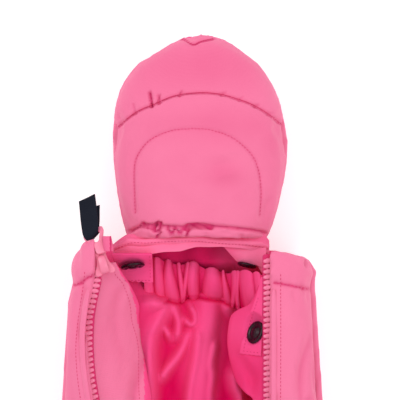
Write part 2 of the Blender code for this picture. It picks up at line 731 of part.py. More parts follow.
def build_gaiter():
    grid = []
    for share in spread(0.0, 1.0, 5):
        line = []
        for column in range(4 * GATHERS + 1):
            width = GAITER[-1].along - GAITER[0].along
            across = GAITER[0].along + width * column / (4 * GATHERS)
            seam, free = smooth_at(GAITER, "seam", across), smooth_at(GAITER, "free", across)
            wave = math.sin(2 * math.pi * column / 4) * GATHER_WAVE * (0.25 + 0.75 * share)
            up = smooth_at(GAITER, "base", across) + GAITER_RISE * math.sin(share * math.pi * 0.62)
            line.append(leg_world(across, seam + (free - seam) * share, up + wave))
        grid.append(line)
    ribbon("gaiter_band", grid, LINING, "lining")

    grid = []
    for row in OUTER_TAB:
        line = []
        for q in spread(0.0, 1.0, 5):
            across = row.left + (row.right - row.left) * q
            lift = TAB_CURL * (1 - q) ** 2
            line.append(leg_world(across, row.along - 0.8 * q, row.up + lift))
        grid.append(line)
    ribbon("gaiter_tab_outer", grid, LINING, "lining")
    snap_on(grid, 3, 2, "snap_outer")

    grid = []
    tab = INNER_TAB
    for share in spread(0.0, 1.0, 6):
        along = tab.top + (tab.low - tab.top) * share
        width = tab.narrow + (tab.wide - tab.narrow) * share ** 1.3
        grid.append([facing_point(1, along, width * q, tab.lift) for q in (0.0, 0.5, 1.0)])
    ribbon("gaiter_tab_inner", grid, LINING, "lining")
    snap_on(grid, 4, 1, "snap_inner")


FLEECE = [  # the soft band inside the foot cover's mouth, turned out over its edge
    TabRow(10.1, -27.0, 35.0, 36.5),
    TabRow(5.2, -31.5, 39.0, 38.5),
    TabRow(1.5, -37.0, 41.5, 37.0),
    TabRow(-1.8, -41.5, 43.0, 33.0),
]
FLEECE_THICK = 2.0
FLEECE_MIDDLE, FLEECE_HALF = 4.0, 38.0
FLEECE_SET_BACK, FLEECE_SAG = 1.2, 6.0  # at the band's two ends
GUSSET = [  # corners: across, along and up, upper edge first
    (Vector((20.0, -3.2, 31.8)), Vector((41.0, -4.4, 27.5))),
    (Vector((27.0, -7.5, 24.5)), Vector((40.0, -12.5, 24.5))),
]
FLEECE_SNAP_AT = (32.0, -5.2, 21.6)
FLEECE_SNAP_FACES = Vector((0.1, -0.8, 0.6)).normalized()


def build_fleece():
    grid = []
    for row in FLEECE:
        line = []
        for across in spread(row.left, row.right, 11):
            bend = abs(across - FLEECE_MIDDLE) / FLEECE_HALF
            line.append(leg_world(across, row.along - FLEECE_SET_BACK * bend ** 2,
                                  row.up - FLEECE_SAG * bend ** 3))
        grid.append(line)
    ribbon("fleece_band", grid, FLEECE_THICK, "fleece")
    grid = []
    for share in spread(0.0, 1.0, 4):
        top, low = (first.lerp(last, share) for first, last in GUSSET)
        grid.append([leg_world(*top.lerp(low, q)) for q in (0.0, 0.5, 1.0)])
    ribbon("fleece_gusset", grid, LINING, "fleece")
    snap("snap_fleece", leg_world(*FLEECE_SNAP_AT), FLEECE_SNAP_FACES)


# ---------------------------------------------------------------- snaps
SNAP_PROFILE = [(0.0, 0.0), (6.6, 0.0), (6.6, 0.9), (5.6, 1.7), (3.4, 1.9), (2.6, 3.2), (0.0, 3.6)]
SNAP_SIDES = 12


def snap(name, centre, normal):
    """A turned snap on a tab, its foot at centre."""
    mesh = bmesh.new()
    turn = normal.to_track_quat("Z", "Y")
    loops = []
    for radius, up in SNAP_PROFILE:
        if radius == 0.0:
            loops.append([mesh.verts.new((centre + turn @ Vector((0, 0, up))) * MM)])
            continue
        loop = []
        for k in range(SNAP_SIDES):
            spin = 2 * math.pi * k / SNAP_SIDES
            local = Vector((radius * math.cos(spin), radius * math.sin(spin), up))
            loop.append(mesh.verts.new((centre + turn @ local) * MM))
        loops.append(loop)
    for low, high in zip(loops, loops[1:]):
        for k in range(SNAP_SIDES):
            n = (k + 1) % SNAP_SIDES
            if len(low) == 1:
                mesh.faces.new((low[0], high[n], high[k]))
            elif len(high) == 1:
                mesh.faces.new((low[k], low[n], high[0]))
            else:
                mesh.faces.new((low[k], low[n], high[n], high[k]))
    return finish(name, mesh, "snap")


# ---------------------------------------------------------------- zip
GUARD_THICK = 1.2
GUARD_SPAN = (0.4, 2.6)  # the piped edge beside the chain, out from the zip


def build_zip():
    for side, word in ((-1, "outer"), (1, "inner")):
        first = CHAIN_FROM if side < 0 else HEM_AT - 2.0
        grid = strip_beside(side, first, TAPE_WIDTH, -TAPE_DOWN)
        ribbon("zip_tape_" + word, grid, TAPE_THICK, "zip", upright=True)
        grid = strip_beside(side, CHAIN_FROM, CHAIN_WIDTH, 0.0)
        ribbon("zip_chain_" + word, grid, CHAIN_HIGH, "zip", upright=True)
        edge = leg_outer if side < 0 else leg_inner
        outer, inner = [], []
        for along in LEG_ALONGS:
            for rows, depth in ((outer, -2 * GAP - GUARD_THICK), (inner, -2 * GAP)):
                places = [edge(along) + side * out for out in GUARD_SPAN]
                rows.append([left_leg.point(along, left_leg.angle_at(along, place, depth), depth,
                                            GAP) for place in places])
        wall("zip_guard_" + word, outer, inner, "shell")


def plate(name, outline, low, high, bevel, slot, frame, hole=None):
    """A flat plate with softened edges, or a ring where it has a hole."""
    middle = Vector((sum(p[0] for p in outline), sum(p[1] for p in outline))) / len(outline)

    def loop(points, up, inset, centre):
        made = []
        for x, y in points:
            toward = Vector((centre[0] - x, centre[1] - y))
            toward = toward.normalized() * inset if inset else Vector((0, 0))
            made.append(Vector((x + toward.x, y + toward.y, up)))
        return made

    mesh = bmesh.new()
    levels = ((low, bevel), (low + bevel, 0.0), (high - bevel, 0.0), (high, bevel))
    rings = [[mesh.verts.new(p * MM) for p in loop(outline, up, inset, middle)]
             for up, inset in levels]
    count = len(outline)
    for a, b in zip(rings, rings[1:]):
        for k in range(count):
            n = (k + 1) % count
            mesh.faces.new((a[k], a[n], b[n], b[k]))
    if hole:
        cuts = [[mesh.verts.new(p * MM) for p in loop(hole, up, 0.0, middle)] for up in (low, high)]
        for k in range(count):
            n = (k + 1) % count
            mesh.faces.new((cuts[0][n], cuts[0][k], cuts[1][k], cuts[1][n]))
            mesh.faces.new((rings[0][n], rings[0][k], cuts[0][k], cuts[0][n]))
            mesh.faces.new((rings[-1][k], rings[-1][n], cuts[1][n], cuts[1][k]))
    else:
        mesh.faces.new(reversed(rings[0]))
        mesh.faces.new(rings[-1])
    made = finish(name, mesh, slot)
    made.parent = frame
    return made


SLIDER_AT = (-48.2, -7.0)  # across and along from the hem
SLIDER_HIGH = 5.0
SLIDER = [(-2.2, -5.6), (2.2, -5.6), (3.4, -3.0), (4.0, 1.0), (4.4, 4.6), (2.6, 6.0),
          (-2.6, 6.0), (-4.4, 4.6), (-4.0, 1.0), (-3.4, -3.0)]
PULL_TURN = math.radians(18.0)
PULL_TILT = math.radians(-20.0)
PULL_THICK = 2.2
PULL = [(-2.4, -0.7), (0.0, -0.75), (2.4, -0.7), (3.0, 2.6), (2.5, 5.2), (5.6, 11.6), (4.6, 13.4),
        (0.0, 13.6), (-4.6, 13.4), (-5.6, 11.6), (-2.5, 5.2), (-3.0, 2.6)]
PULL_HOLE = [(-0.5, 6.6), (0.0, 6.4), (0.5, 6.6), (0.9, 7.6), (1.3, 8.4), (3.2, 11.0), (2.6, 11.5),
             (0.0, 11.6), (-2.6, 11.5), (-3.2, 11.0), (-1.3, 8.4), (-0.9, 7.6)]
PULL_SEAT = (-1.0, 5.8)  # the hinge, across and along from the slider's middle
WEB_WIDTH = 10.4
WEB_THICK = 1.1
WEB_CLEAR = PULL_THICK / 2 + GAP + WEB_THICK / 2
WEB_TO = 34.0
WEB_LAYER = [(9.4, WEB_CLEAR), (14.0, WEB_CLEAR), (20.0, 1.7), (28.0, 1.2), (WEB_TO - 1.0, 1.0)]
WEB_FOLD = [(WEB_TO, 0.6), (WEB_TO + 0.5, 0.0), (WEB_TO, -0.6)]


def empty(name, matrix):
    made = bpy.data.objects.new(name, None)
    made.matrix_world = matrix
    bpy.context.collection.objects.link(made)
    return made


def build_slider():
    points, _ = zip_line(-1, HEM_AT - 7.0)
    level = points[0].z + 1.0
    turn = left_leg.place(HEM_AT)[1]
    seat = leg_world(SLIDER_AT[0], SLIDER_AT[1], level)
    frame = empty("slider_frame", Matrix.Translation(seat * MM) @ Matrix.Rotation(turn, 4, "Z"))
    plate("slider", SLIDER, -SLIDER_HIGH / 2, SLIDER_HIGH / 2, 0.7, "slider", frame)

    hinge = leg_world(SLIDER_AT[0] + PULL_SEAT[0], SLIDER_AT[1] + PULL_SEAT[1],
                      level + SLIDER_HIGH / 2 + GAP + PULL_THICK / 2)
    matrix = (Matrix.Translation(hinge * MM) @ Matrix.Rotation(turn + PULL_TURN, 4, "Z")
              @ Matrix.Rotation(PULL_TILT, 4, "X"))
    swing = empty("pull_hinge", matrix)
    plate("pull", PULL, -PULL_THICK / 2, PULL_THICK / 2, 0.5, "slider", swing, PULL_HOLE)

    path = WEB_LAYER + WEB_FOLD + [(along, -up) for along, up in reversed(WEB_LAYER)]
    grid = [[Vector((across, along, up)) for across in (-WEB_WIDTH / 2, 0.0, WEB_WIDTH / 2)]
            for along, up in path]
    web = ribbon("puller_tape", grid, WEB_THICK, "webbing")
    web.parent = swing


build_body()
build_legs()
build_hem_bands()
build_sleeves()
build_hood()
for side, word, shape in ((-1, "left", OPEN_FOOT), (1, "right", FLAT_FOOT)):
    cover = Foot(leg_place(side), -side, shape)
    build_upper(word, cover)
    build_sole(word, cover)
build_lining()
build_facings()
build_gaiter()
build_fleece()
build_zip()
build_slider()
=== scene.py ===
# %% [markdown]
# # A padded baby snowsuit, laid flat
# The suit lies on its back with its hood and foot covers on. The left leg is
# unzipped, so its lining, its gathered snow gaiter and its snap tabs show.
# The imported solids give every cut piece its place. Each cell takes one piece
# or one finish, says what it is on the real suit, and makes it finer.

# %% Load the frame
import bpy
import json
import math
import numpy as np
from collections import namedtuple
from itertools import repeat
from mathutils import Matrix, Vector
from mathutils.bvhtree import BVHTree

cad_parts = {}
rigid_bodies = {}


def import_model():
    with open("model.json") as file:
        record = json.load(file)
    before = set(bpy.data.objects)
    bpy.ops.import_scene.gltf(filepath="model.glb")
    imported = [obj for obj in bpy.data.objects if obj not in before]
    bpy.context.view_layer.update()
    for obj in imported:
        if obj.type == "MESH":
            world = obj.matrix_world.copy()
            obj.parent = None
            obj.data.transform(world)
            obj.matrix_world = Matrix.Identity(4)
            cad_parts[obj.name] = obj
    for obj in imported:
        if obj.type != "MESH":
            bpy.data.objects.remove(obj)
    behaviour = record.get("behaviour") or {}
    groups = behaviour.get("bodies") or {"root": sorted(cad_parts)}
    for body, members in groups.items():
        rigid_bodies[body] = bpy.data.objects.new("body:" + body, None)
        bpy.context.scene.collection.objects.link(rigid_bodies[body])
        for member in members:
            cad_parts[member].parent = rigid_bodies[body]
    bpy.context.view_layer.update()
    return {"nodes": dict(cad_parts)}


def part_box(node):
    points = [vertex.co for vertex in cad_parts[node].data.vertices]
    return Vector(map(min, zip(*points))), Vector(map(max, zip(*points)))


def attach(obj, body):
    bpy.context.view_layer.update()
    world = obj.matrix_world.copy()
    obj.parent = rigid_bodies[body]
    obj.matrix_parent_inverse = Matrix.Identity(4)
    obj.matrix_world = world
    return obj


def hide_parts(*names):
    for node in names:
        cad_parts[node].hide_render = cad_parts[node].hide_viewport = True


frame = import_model()
MM = 0.001

# %% [markdown]
# ## A leg's own rulers
# The legs spread from the body, so it is easier to think in the left leg's
# own directions: across it, along it past the hem, and up. One small function
# turns such a place, in millimetres, into the scene's metres.

# %% Places in the left leg
SPLAY = math.radians(9.0)
HEM = Vector((-129.49, 379.07, 0.0)) * MM
ACROSS = Vector((math.cos(SPLAY), math.sin(SPLAY), 0.0))
ALONG = Vector((-math.sin(SPLAY), math.cos(SPLAY), 0.0))


def leg(across, along, up=0.0):
    """A place in the left leg, in mm from the middle of its hem."""
    return HEM + (ACROSS * across + ALONG * along) * MM + Vector((0.0, 0.0, up * MM))


print("left hem at", [round(v, 4) for v in HEM])

# %% [markdown]
# ## Camera
# The camera looks straight down on the open leg and its foot cover. It is
# turned with the leg, so the leg stands upright in the frame.

# %% The camera over the open leg
CAMERA_HEIGHT = 2.5
FRAME_WIDTH = 224.0 * MM
CLOTH_LEVEL = 50.0 * MM
FRAME_MIDDLE = (5.6, 28.0)  # mm across and along the leg

lens_data = bpy.data.cameras.new("camera")
camera = bpy.data.objects.new("camera", lens_data)
bpy.context.scene.collection.objects.link(camera)
camera.location = leg(*FRAME_MIDDLE) + Vector((0.0, 0.0, CAMERA_HEIGHT))
camera.rotation_euler = (0.0, 0.0, SPLAY)
lens_data.lens = lens_data.sensor_width * (CAMERA_HEIGHT - CLOTH_LEVEL) / FRAME_WIDTH
lens_data.clip_start, lens_data.clip_end = 0.05, 20.0
bpy.context.scene.camera = camera
print("lens", round(lens_data.lens), "mm")

# %% [markdown]
# ## Light and floor
# A laid-flat garment is lit by large soft lamps, so its shadows are only a
# little darker than its lights. A bright world fills every fold, and one wide
# lamp from the upper left gives the padding its roundness. The floor is a
# plain white sheet.

# %% Soft light and a white floor
FLOOR_SIZE = 6.0
WHITE = (1.0, 1.0, 1.0, 1.0)


def set_inputs(node, **values):
    """Set a node's inputs by name, with _ where the name has a space."""
    for name, value in values.items():
        node.inputs[name.replace("_", " ")].default_value = value


def soft_lamp(name, place, aim, size, watts):
    """A square area lamp that faces a place."""
    data = bpy.data.lights.new(name, "AREA")
    data.energy, data.size = watts, size
    lamp = bpy.data.objects.new(name, data)
    bpy.context.scene.collection.objects.link(lamp)
    lamp.location = place
    lamp.rotation_euler = (Vector(aim) - Vector(place)).to_track_quat("-Z", "Y").to_euler()
    return lamp


soft_lamp("key", leg(-1100.0, 900.0, 1500.0), leg(0.0, 0.0), 1.2, 13.0)
soft_lamp("fill", leg(1300.0, -300.0, 1700.0), leg(0.0, 0.0), 1.6, 14.0)

sky = bpy.data.worlds.new("studio")
sky.use_nodes = True
set_inputs(sky.node_tree.nodes["Background"], Color=WHITE, Strength=0.80)
bpy.context.scene.world = sky
bpy.context.scene.view_settings.view_transform = "Standard"

bpy.ops.object.select_all(action="DESELECT")
bpy.ops.mesh.primitive_plane_add(size=FLOOR_SIZE, location=(0.0, 0.0, -0.2 * MM))
floor = bpy.context.object
floor.name = "floor"
paper = bpy.data.materials.new("floor_paper")
paper.use_nodes = True
set_inputs(paper.node_tree.nodes["Principled BSDF"], Base_Color=(0.72, 0.72, 0.72, 1.0), Roughness=0.9,
           Emission_Color=WHITE, Emission_Strength=0.45)
floor.data.materials.append(paper)
print("lamps and floor are up")

# %% [markdown]
# ## Helpers for every piece
# Modelling by script repeats a few moves: select one object alone, run
# edit-mode operators on it, and read or write all its points at once. Numpy
# moves a hundred thousand points in one step, which a loop can't do quickly.
# Two soft steps shape nearly everything: a ramp from 0 to 1, and a bell.

# %% Select, edit, read and write
SCENE = bpy.context.scene
ZIP_SIDES = ("outer", "inner")


def table(kind, *values):
    """A short table: each group of values becomes one row with named columns."""
    return [kind(*row) for row in values]


def ramp(x, start, end):
    """From 0 at start to 1 at end, and level beyond both."""
    return np.clip((x - start) / (end - start), 0.0, 1.0)


def bell(x, width):
    return np.exp(-(x / width) ** 2)


def only(*pieces):
    """Select these objects alone, the last one active."""
    bpy.ops.object.select_all(action="DESELECT")
    for piece in pieces:
        piece.select_set(True)
    bpy.context.view_layer.objects.active = pieces[-1]


def primitive(add, **settings):
    """A new object from one of Blender's primitives, added alone."""
    bpy.ops.object.select_all(action="DESELECT")
    add(**settings)
    return bpy.context.object


def all_selected():
    bpy.ops.mesh.select_all(action="SELECT")


def faces_out():
    bpy.ops.mesh.normals_make_consistent(inside=False)


def edit(piece, *steps):
    """Run edit-mode steps on one piece, with all of it selected."""
    only(piece)
    bpy.ops.object.mode_set(mode="EDIT")
    all_selected()
    for step in steps:
        step()
    bpy.ops.object.mode_set(mode="OBJECT")
    return piece


def joined(name, *pieces):
    """One piece of several, or the only piece under its new name."""
    only(*pieces)
    if len(pieces) > 1:
        bpy.ops.object.join()
    pieces[-1].name = name
    return pieces[-1]


def points_of(piece, what="co"):
    """The places, or normals, of a piece's points, one row each."""
    data = piece.data.vertices if what == "co" else piece.data.vertex_normals
    found = np.zeros(len(piece.data.vertices) * 3, np.float32)
    data.foreach_get("co" if what == "co" else "vector", found)
    return found.reshape(-1, 3).astype(float)


def put_points(piece, places):
    piece.data.vertices.foreach_set("co", places.astype(np.float32).ravel())
    piece.data.update()


def smooth_shaded(piece, sharp_degrees=None):
    only(piece)
    if sharp_degrees is None:
        bpy.ops.object.shade_smooth()
    else:
        bpy.ops.object.shade_smooth_by_angle(angle=math.radians(sharp_degrees))
    return piece


def applied(piece, kind, **settings):
    """Add one modifier, set it and apply it."""
    only(piece)
    modifier = piece.modifiers.new(kind.lower(), kind)
    for name, value in settings.items():
        setattr(modifier, name, value)
    bpy.ops.object.modifier_apply(modifier=modifier.name)
    return piece


def finished(piece, material, replaces=(), body="garment"):
    """Give a piece its finish, its body and the solids it stands for."""
    piece.data.materials.clear()
    piece.data.materials.append(material)
    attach(piece, body)
    if replaces:
        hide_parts(*replaces)
    return piece


def lined(piece, material, chosen, ruler=None):
    """Give the faces that chosen(middles, normals) picks a second material.
    The middles are in mm on a ruler, which is the left leg's if none is given."""
    count = len(piece.data.polygons)
    middles, normals = np.zeros(count * 3, np.float32), np.zeros(count * 3, np.float32)
    piece.data.polygons.foreach_get("center", middles)
    piece.data.polygons.foreach_get("normal", normals)
    inside = chosen(on_ruler(middles.reshape(-1, 3), ruler or LEFT_LEG), normals.reshape(-1, 3))
    piece.data.materials.append(material)
    piece.data.polygons.foreach_set("material_index", inside.astype(np.int32))
    piece.data.update()


def panel_copy(node, name):
    """A copy of one solid's mesh, its loose triangles merged into a shell."""
    piece = bpy.data.objects.new(name, frame["nodes"][node].data.copy())
    SCENE.collection.objects.link(piece)
    edit(piece,
         bpy.ops.mesh.customdata_custom_splitnormals_clear,
         lambda: bpy.ops.mesh.remove_doubles(threshold=0.02 * MM),
         lambda: bpy.ops.mesh.tris_convert_to_quads(face_threshold=math.radians(60.0),
                                                    shape_threshold=math.radians(80.0)))
    return piece


print("helpers are ready")

# %% [markdown]
# ## Finishes
# Three shader groups serve every cloth here. `weave` is the crossing of
# threads, `crumple` the soft unevenness that cloth keeps after sewing, and
# `nap` the short fuzz of brushed cloth. They read Object coordinates, which
# match the scene's metres because every finished piece sits at the origin.
# The groups put out heights and tones; each material keeps its own shader.

# %% Small tools for shader nodes
def add_node(tree, kind, inputs=None, **settings):
    """A new node with its settings and inputs; an input may be a socket."""
    made = tree.nodes.new(kind)
    for name, value in settings.items():
        setattr(made, name, value)
    for name, value in (inputs or {}).items():
        if isinstance(value, bpy.types.NodeSocket):
            tree.links.new(value, made.inputs[name])
        else:
            made.inputs[name].default_value = value
    return made


def calc(tree, operation, first, second=0.0):
    return add_node(tree, "ShaderNodeMath", {0: first, 1: second}, operation=operation).outputs[0]


def blend(tree, factor, first, second):
    return add_node(tree, "ShaderNodeMix", {"Factor": factor, 6: first, 7: second},
                    data_type="RGBA", clamp_factor=True).outputs[2]


def bump(tree, height, distance, under=None):
    """A bump of so many mm, over the normals that another bump gave."""
    given = {"Height": height, "Distance": distance * MM, "Strength": 1.0}
    if under:
        given["Normal"] = under
    return add_node(tree, "ShaderNodeBump", given).outputs[0]


def noise(tree, scale, **values):
    """Noise on Object coordinates."""
    place = add_node(tree, "ShaderNodeTexCoord").outputs["Object"]
    return add_node(tree, "ShaderNodeTexNoise", {"Vector": place, "Scale": scale, **values}).outputs[0]


def new_group(name, label, value, outputs):
    """A shader group with one number going in and numbers coming out."""
    tree = bpy.data.node_groups.new(name, "ShaderNodeTree")
    tree.interface.new_socket(label, in_out="INPUT", socket_type="NodeSocketFloat").default_value = value
    for label in outputs:
        tree.interface.new_socket(label, in_out="OUTPUT", socket_type="NodeSocketFloat")
    return tree, tree.nodes.new("NodeGroupInput").outputs[0], tree.nodes.new("NodeGroupOutput").inputs


# %% Group: weave
def make_weave():
    """Threads that cross; adding the height in lets them run up the sides too."""
    tree, threads, out = new_group("weave", "Threads per metre", 1100.0, ["Height"])
    place = add_node(tree, "ShaderNodeTexCoord").outputs["Object"]
    turned = add_node(tree, "ShaderNodeMapping", {"Vector": place, "Rotation": (0.0, 0.0, -SPLAY)})
    axes = add_node(tree, "ShaderNodeSeparateXYZ", {0: turned.outputs[0]}).outputs
    turns = calc(tree, "MULTIPLY", threads, 2 * math.pi)
    slanted = [calc(tree, "ADD", axes[axis], axes["Z"]) for axis in "XY"]
    warp, weft = (calc(tree, "SINE", calc(tree, "MULTIPLY", run, turns)) for run in slanted)
    crossed, ribbed = calc(tree, "MULTIPLY", warp, weft), calc(tree, "MULTIPLY", weft, 0.6)
    tree.links.new(calc(tree, "MULTIPLY", calc(tree, "ADD", crossed, ribbed), 0.3), out["Height"])
    return tree


def make_crumple():
    """Soft hollows and swells of two sizes."""
    tree, size, out = new_group("crumple", "Size", 30.0, ["Height", "Tone"])
    broad = noise(tree, size, Detail=2.0)
    close = noise(tree, calc(tree, "MULTIPLY", size, 7.0), Detail=3.0)
    tree.links.new(calc(tree, "ADD", broad, calc(tree, "MULTIPLY", close, 0.12)), out["Height"])
    tree.links.new(broad, out["Tone"])
    return tree


def make_nap():
    """Tangled short fibres."""
    tree, fibres, out = new_group("nap", "Fibres per metre", 900.0, ["Height"])
    tree.links.new(noise(tree, fibres, Detail=4.0, Roughness=0.7, Distortion=0.6), out["Height"])
    return tree


WEAVE, CRUMPLE, NAP = make_weave(), make_crumple(), make_nap()
print("shader groups:", [g.name for g in bpy.data.node_groups])

# %% [markdown]
# Deep in a sewn channel the cloth looks darker and fuller in colour, because
# light reaches it only off other pink cloth. That shade is painted into the
# colour: an attribute on the mesh holds how much painted shade each point takes,
# in channels, folds, hollows and the shaded inside of the leg, and the cloth
# materials deepen their colour by it.

# %% Materials of cloth
# The attribute below holds painted shade, from 0 in full light to 1 in the darkest shade; the share next to
# it is how much of each colour is left there.
SHADE_ATTRIBUTE = "sunk"
SHADE_SHARE = (0.80, 0.03, 0.44, 1.0)  # share of each colour that stays in a deep channel
SWELLS, FIBRES = 38.0, 1400.0  # the crumple's size, and the nap's fibres per metre, in every cloth
SWELL_TONE, THREAD_TONE = 0.9, 0.28  # how much the swells and the threads show in the colour
Cloth = namedtuple("Cloth", "light dark threads relief crumple fuzz roughness sheen gloss")


def group_node(tree, group, value):
    made = tree.nodes.new("ShaderNodeGroup")
    made.node_tree = group
    made.inputs[0].default_value = value
    return made.outputs


def new_material(name):
    material = bpy.data.materials.new(name)
    material.use_nodes = True
    return material, material.node_tree, material.node_tree.nodes["Principled BSDF"]


def cloth_material(name, look):
    """Woven cloth: threads in the colour and the bump, swells in both too."""
    material, tree, shader = new_material(name)
    threads = group_node(tree, WEAVE, look.threads)
    swells = group_node(tree, CRUMPLE, SWELLS)
    fibres = group_node(tree, NAP, FIBRES)
    tone = calc(tree, "MULTIPLY", calc(tree, "SUBTRACT", swells["Tone"], 0.5), SWELL_TONE)
    crossing = calc(tree, "MULTIPLY", threads["Height"], THREAD_TONE)
    shade = calc(tree, "ADD", calc(tree, "ADD", tone, crossing), 0.5)
    colour = blend(tree, shade, look.dark, look.light)
    # Painted shade: the attribute blends the colour towards its shaded colour.
    sunk = add_node(tree, "ShaderNodeAttribute", attribute_name=SHADE_ATTRIBUTE).outputs["Fac"]
    deep = [part * share for part, share in zip(look.dark, SHADE_SHARE)]
    tree.links.new(blend(tree, sunk, colour, deep), shader.inputs["Base Color"])
    soft = bump(tree, swells["Height"], look.crumple)
    fuzz = bump(tree, fibres["Height"], look.fuzz, soft)
    tree.links.new(bump(tree, threads["Height"], look.relief, fuzz), shader.inputs["Normal"])
    set_inputs(shader, Roughness=look.roughness, Sheen_Weight=look.sheen, Sheen_Roughness=0.45,
               Specular_IOR_Level=look.gloss)
    return material


LOOKS = {
    "shell_cloth": Cloth((0.84, 0.19, 0.345, 1), (0.79, 0.15, 0.30, 1),
                         1000.0, 0.10, 0.9, 0.05, 0.72, 0.10, 0.22),
    "lining_cloth": Cloth((0.93, 0.098, 0.285, 1), (0.88, 0.055, 0.225, 1),
                          1250.0, 0.09, 0.7, 0.05, 0.70, 0.0, 0.04),
    "fleece_cloth": Cloth((0.97, 0.215, 0.39, 1), (0.91, 0.145, 0.32, 1),
                          900.0, 0.02, 0.4, 0.30, 0.95, 0.10, 0.05),
    "zip_tape_cloth": Cloth((0.86, 0.16, 0.32, 1), (0.80, 0.11, 0.26, 1),
                            1600.0, 0.12, 0.1, 0.03, 0.70, 0.02, 0.10),
    "webbing_cloth": Cloth((0.010, 0.012, 0.024, 1), (0.003, 0.004, 0.010, 1),
                           1300.0, 0.16, 0.1, 0.04, 0.62, 0.0, 0.12),
    "sewing_thread": Cloth((0.74, 0.060, 0.20, 1), (0.60, 0.018, 0.11, 1),
                           2500.0, 0.05, 0.0, 0.02, 0.60, 0.0, 0.10)}
SHELL, LINING, FLEECE, TAPE, WEBBING, THREAD = (cloth_material(name, look) for name, look in LOOKS.items())
print("cloth materials:", ", ".join(LOOKS))

# %% [markdown]
# The teeth and the slider are plastic and lacquer. Their surface is nearly
# plain, but handling leaves a faint unevenness, so roughness comes from noise.

# %% Materials of plastic and lacquer
GRAIN = 260.0  # the size of the unevenness
ROUGH_SPAN = 0.2  # how far the roughness varies


def hard_material(name, colour, worn, roughness, coat, relief, gloss=0.4):
    material, tree, shader = new_material(name)
    swells = group_node(tree, CRUMPLE, GRAIN)
    tree.links.new(blend(tree, swells["Tone"], colour, worn), shader.inputs["Base Color"])
    varied = calc(tree, "MULTIPLY", swells["Tone"], ROUGH_SPAN)
    rough = calc(tree, "ADD", varied, roughness - ROUGH_SPAN / 2)
    tree.links.new(rough, shader.inputs["Roughness"])
    tree.links.new(bump(tree, swells["Height"], relief), shader.inputs["Normal"])
    set_inputs(shader, Coat_Weight=coat, Coat_Roughness=0.15, Specular_IOR_Level=gloss)
    return material


TEETH = hard_material("tooth_plastic", (0.86, 0.22, 0.38, 1), (0.82, 0.15, 0.31, 1), 0.34, 0.3, 0.03)
LACQUER = hard_material("slider_lacquer", (0.84, 0.21, 0.34, 1), (0.80, 0.17, 0.30, 1), 0.42, 0.2, 0.04)
SNAP = hard_material("snap_metal", (0.028, 0.0015, 0.009, 1), (0.013, 0.001, 0.005, 1),
                     0.26, 0.03, 0.02, 0.25)
print("hard materials:", TEETH.name, LACQUER.name, SNAP.name)

# %% [markdown]
# ## Padded panels
# Every outer panel is a quilt of face cloth, padding and lining. The recipe
# gives each a plump, slightly uneven form: copy the panel's solid, remesh it
# into even squares, draw it in a little, and let Blender's cloth fill it with
# air. Each point may only move so far, so neighbours still meet at the seams.
# Panels whose seam lies flat, with both sides caught down by a row of
# stitches, are swelled until they touch and become one shell. Their seam is
# pressed in afterwards, at its true depth.

# %% The padding recipe
Pad = namedtuple("Pad", "name nodes voxel tuck cap rounds")
FRAMES = 20
TOUCH = 0.35  # mm that joined panels swell by, which closes the gap between them


def start_pad(pad):
    """Join and remesh the panels of one pad, and draw it in to be filled."""
    copies = [panel_copy(node, "pad_" + pad.name) for node in pad.nodes]
    if len(copies) > 1:
        for piece in copies:
            put_points(piece, points_of(piece) + points_of(piece, "normal") * TOUCH * MM)
    piece = joined("pad_" + pad.name, *reversed(copies))
    applied(piece, "REMESH", mode="VOXEL", voxel_size=pad.voxel * MM)
    applied(piece, "SMOOTH", factor=0.5, iterations=pad.rounds)
    put_points(piece, points_of(piece) - points_of(piece, "normal") * pad.tuck * MM)
    return piece


def fill_with_air(pieces, caps):
    """Blow up several closed shells at once and cap how far each point moves."""
    before = [points_of(piece) for piece in pieces]
    for piece in pieces:
        cloth = piece.modifiers.new("air", "CLOTH")
        cloth.settings.quality = 4
        cloth.settings.use_pressure = True
        cloth.settings.uniform_pressure_force = 4.0
        cloth.settings.effector_weights.gravity = 0.0
        cloth.collision_settings.use_collision = False
        cloth.collision_settings.use_self_collision = False
    for step in range(1, FRAMES + 1):
        SCENE.frame_set(step)
    for piece in pieces:
        only(piece)
        bpy.ops.object.modifier_apply(modifier="air")
    SCENE.frame_set(1)
    for piece, start, cap in zip(pieces, before, caps):
        moved = points_of(piece) - start
        length = np.linalg.norm(moved, axis=1, keepdims=True)
        keep = np.minimum(1.0, cap * MM / np.maximum(length, 1e-9))
        put_points(piece, start + moved * keep)


def fit_to_solids(piece, nodes, proud=0.4):
    """Stretch a pad back to its solids' own reach, proud by a little all round."""
    corners = [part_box(node) for node in nodes]
    low = np.min([corner[0] for corner in corners], axis=0) - proud * MM
    high = np.max([corner[1] for corner in corners], axis=0) + proud * MM
    places = points_of(piece)
    first, last = places.min(axis=0), places.max(axis=0)
    put_points(piece, low + (places - first) * (high - low) / (last - first))


def rest_flat(piece):
    """Press down what would dip under the surface that the suit lies on."""
    places = points_of(piece)
    places[:, 2] = np.maximum(places[:, 2], 0.0)
    put_points(piece, places)


def parts(group, *names):
    return [group + "_" + name for name in names]


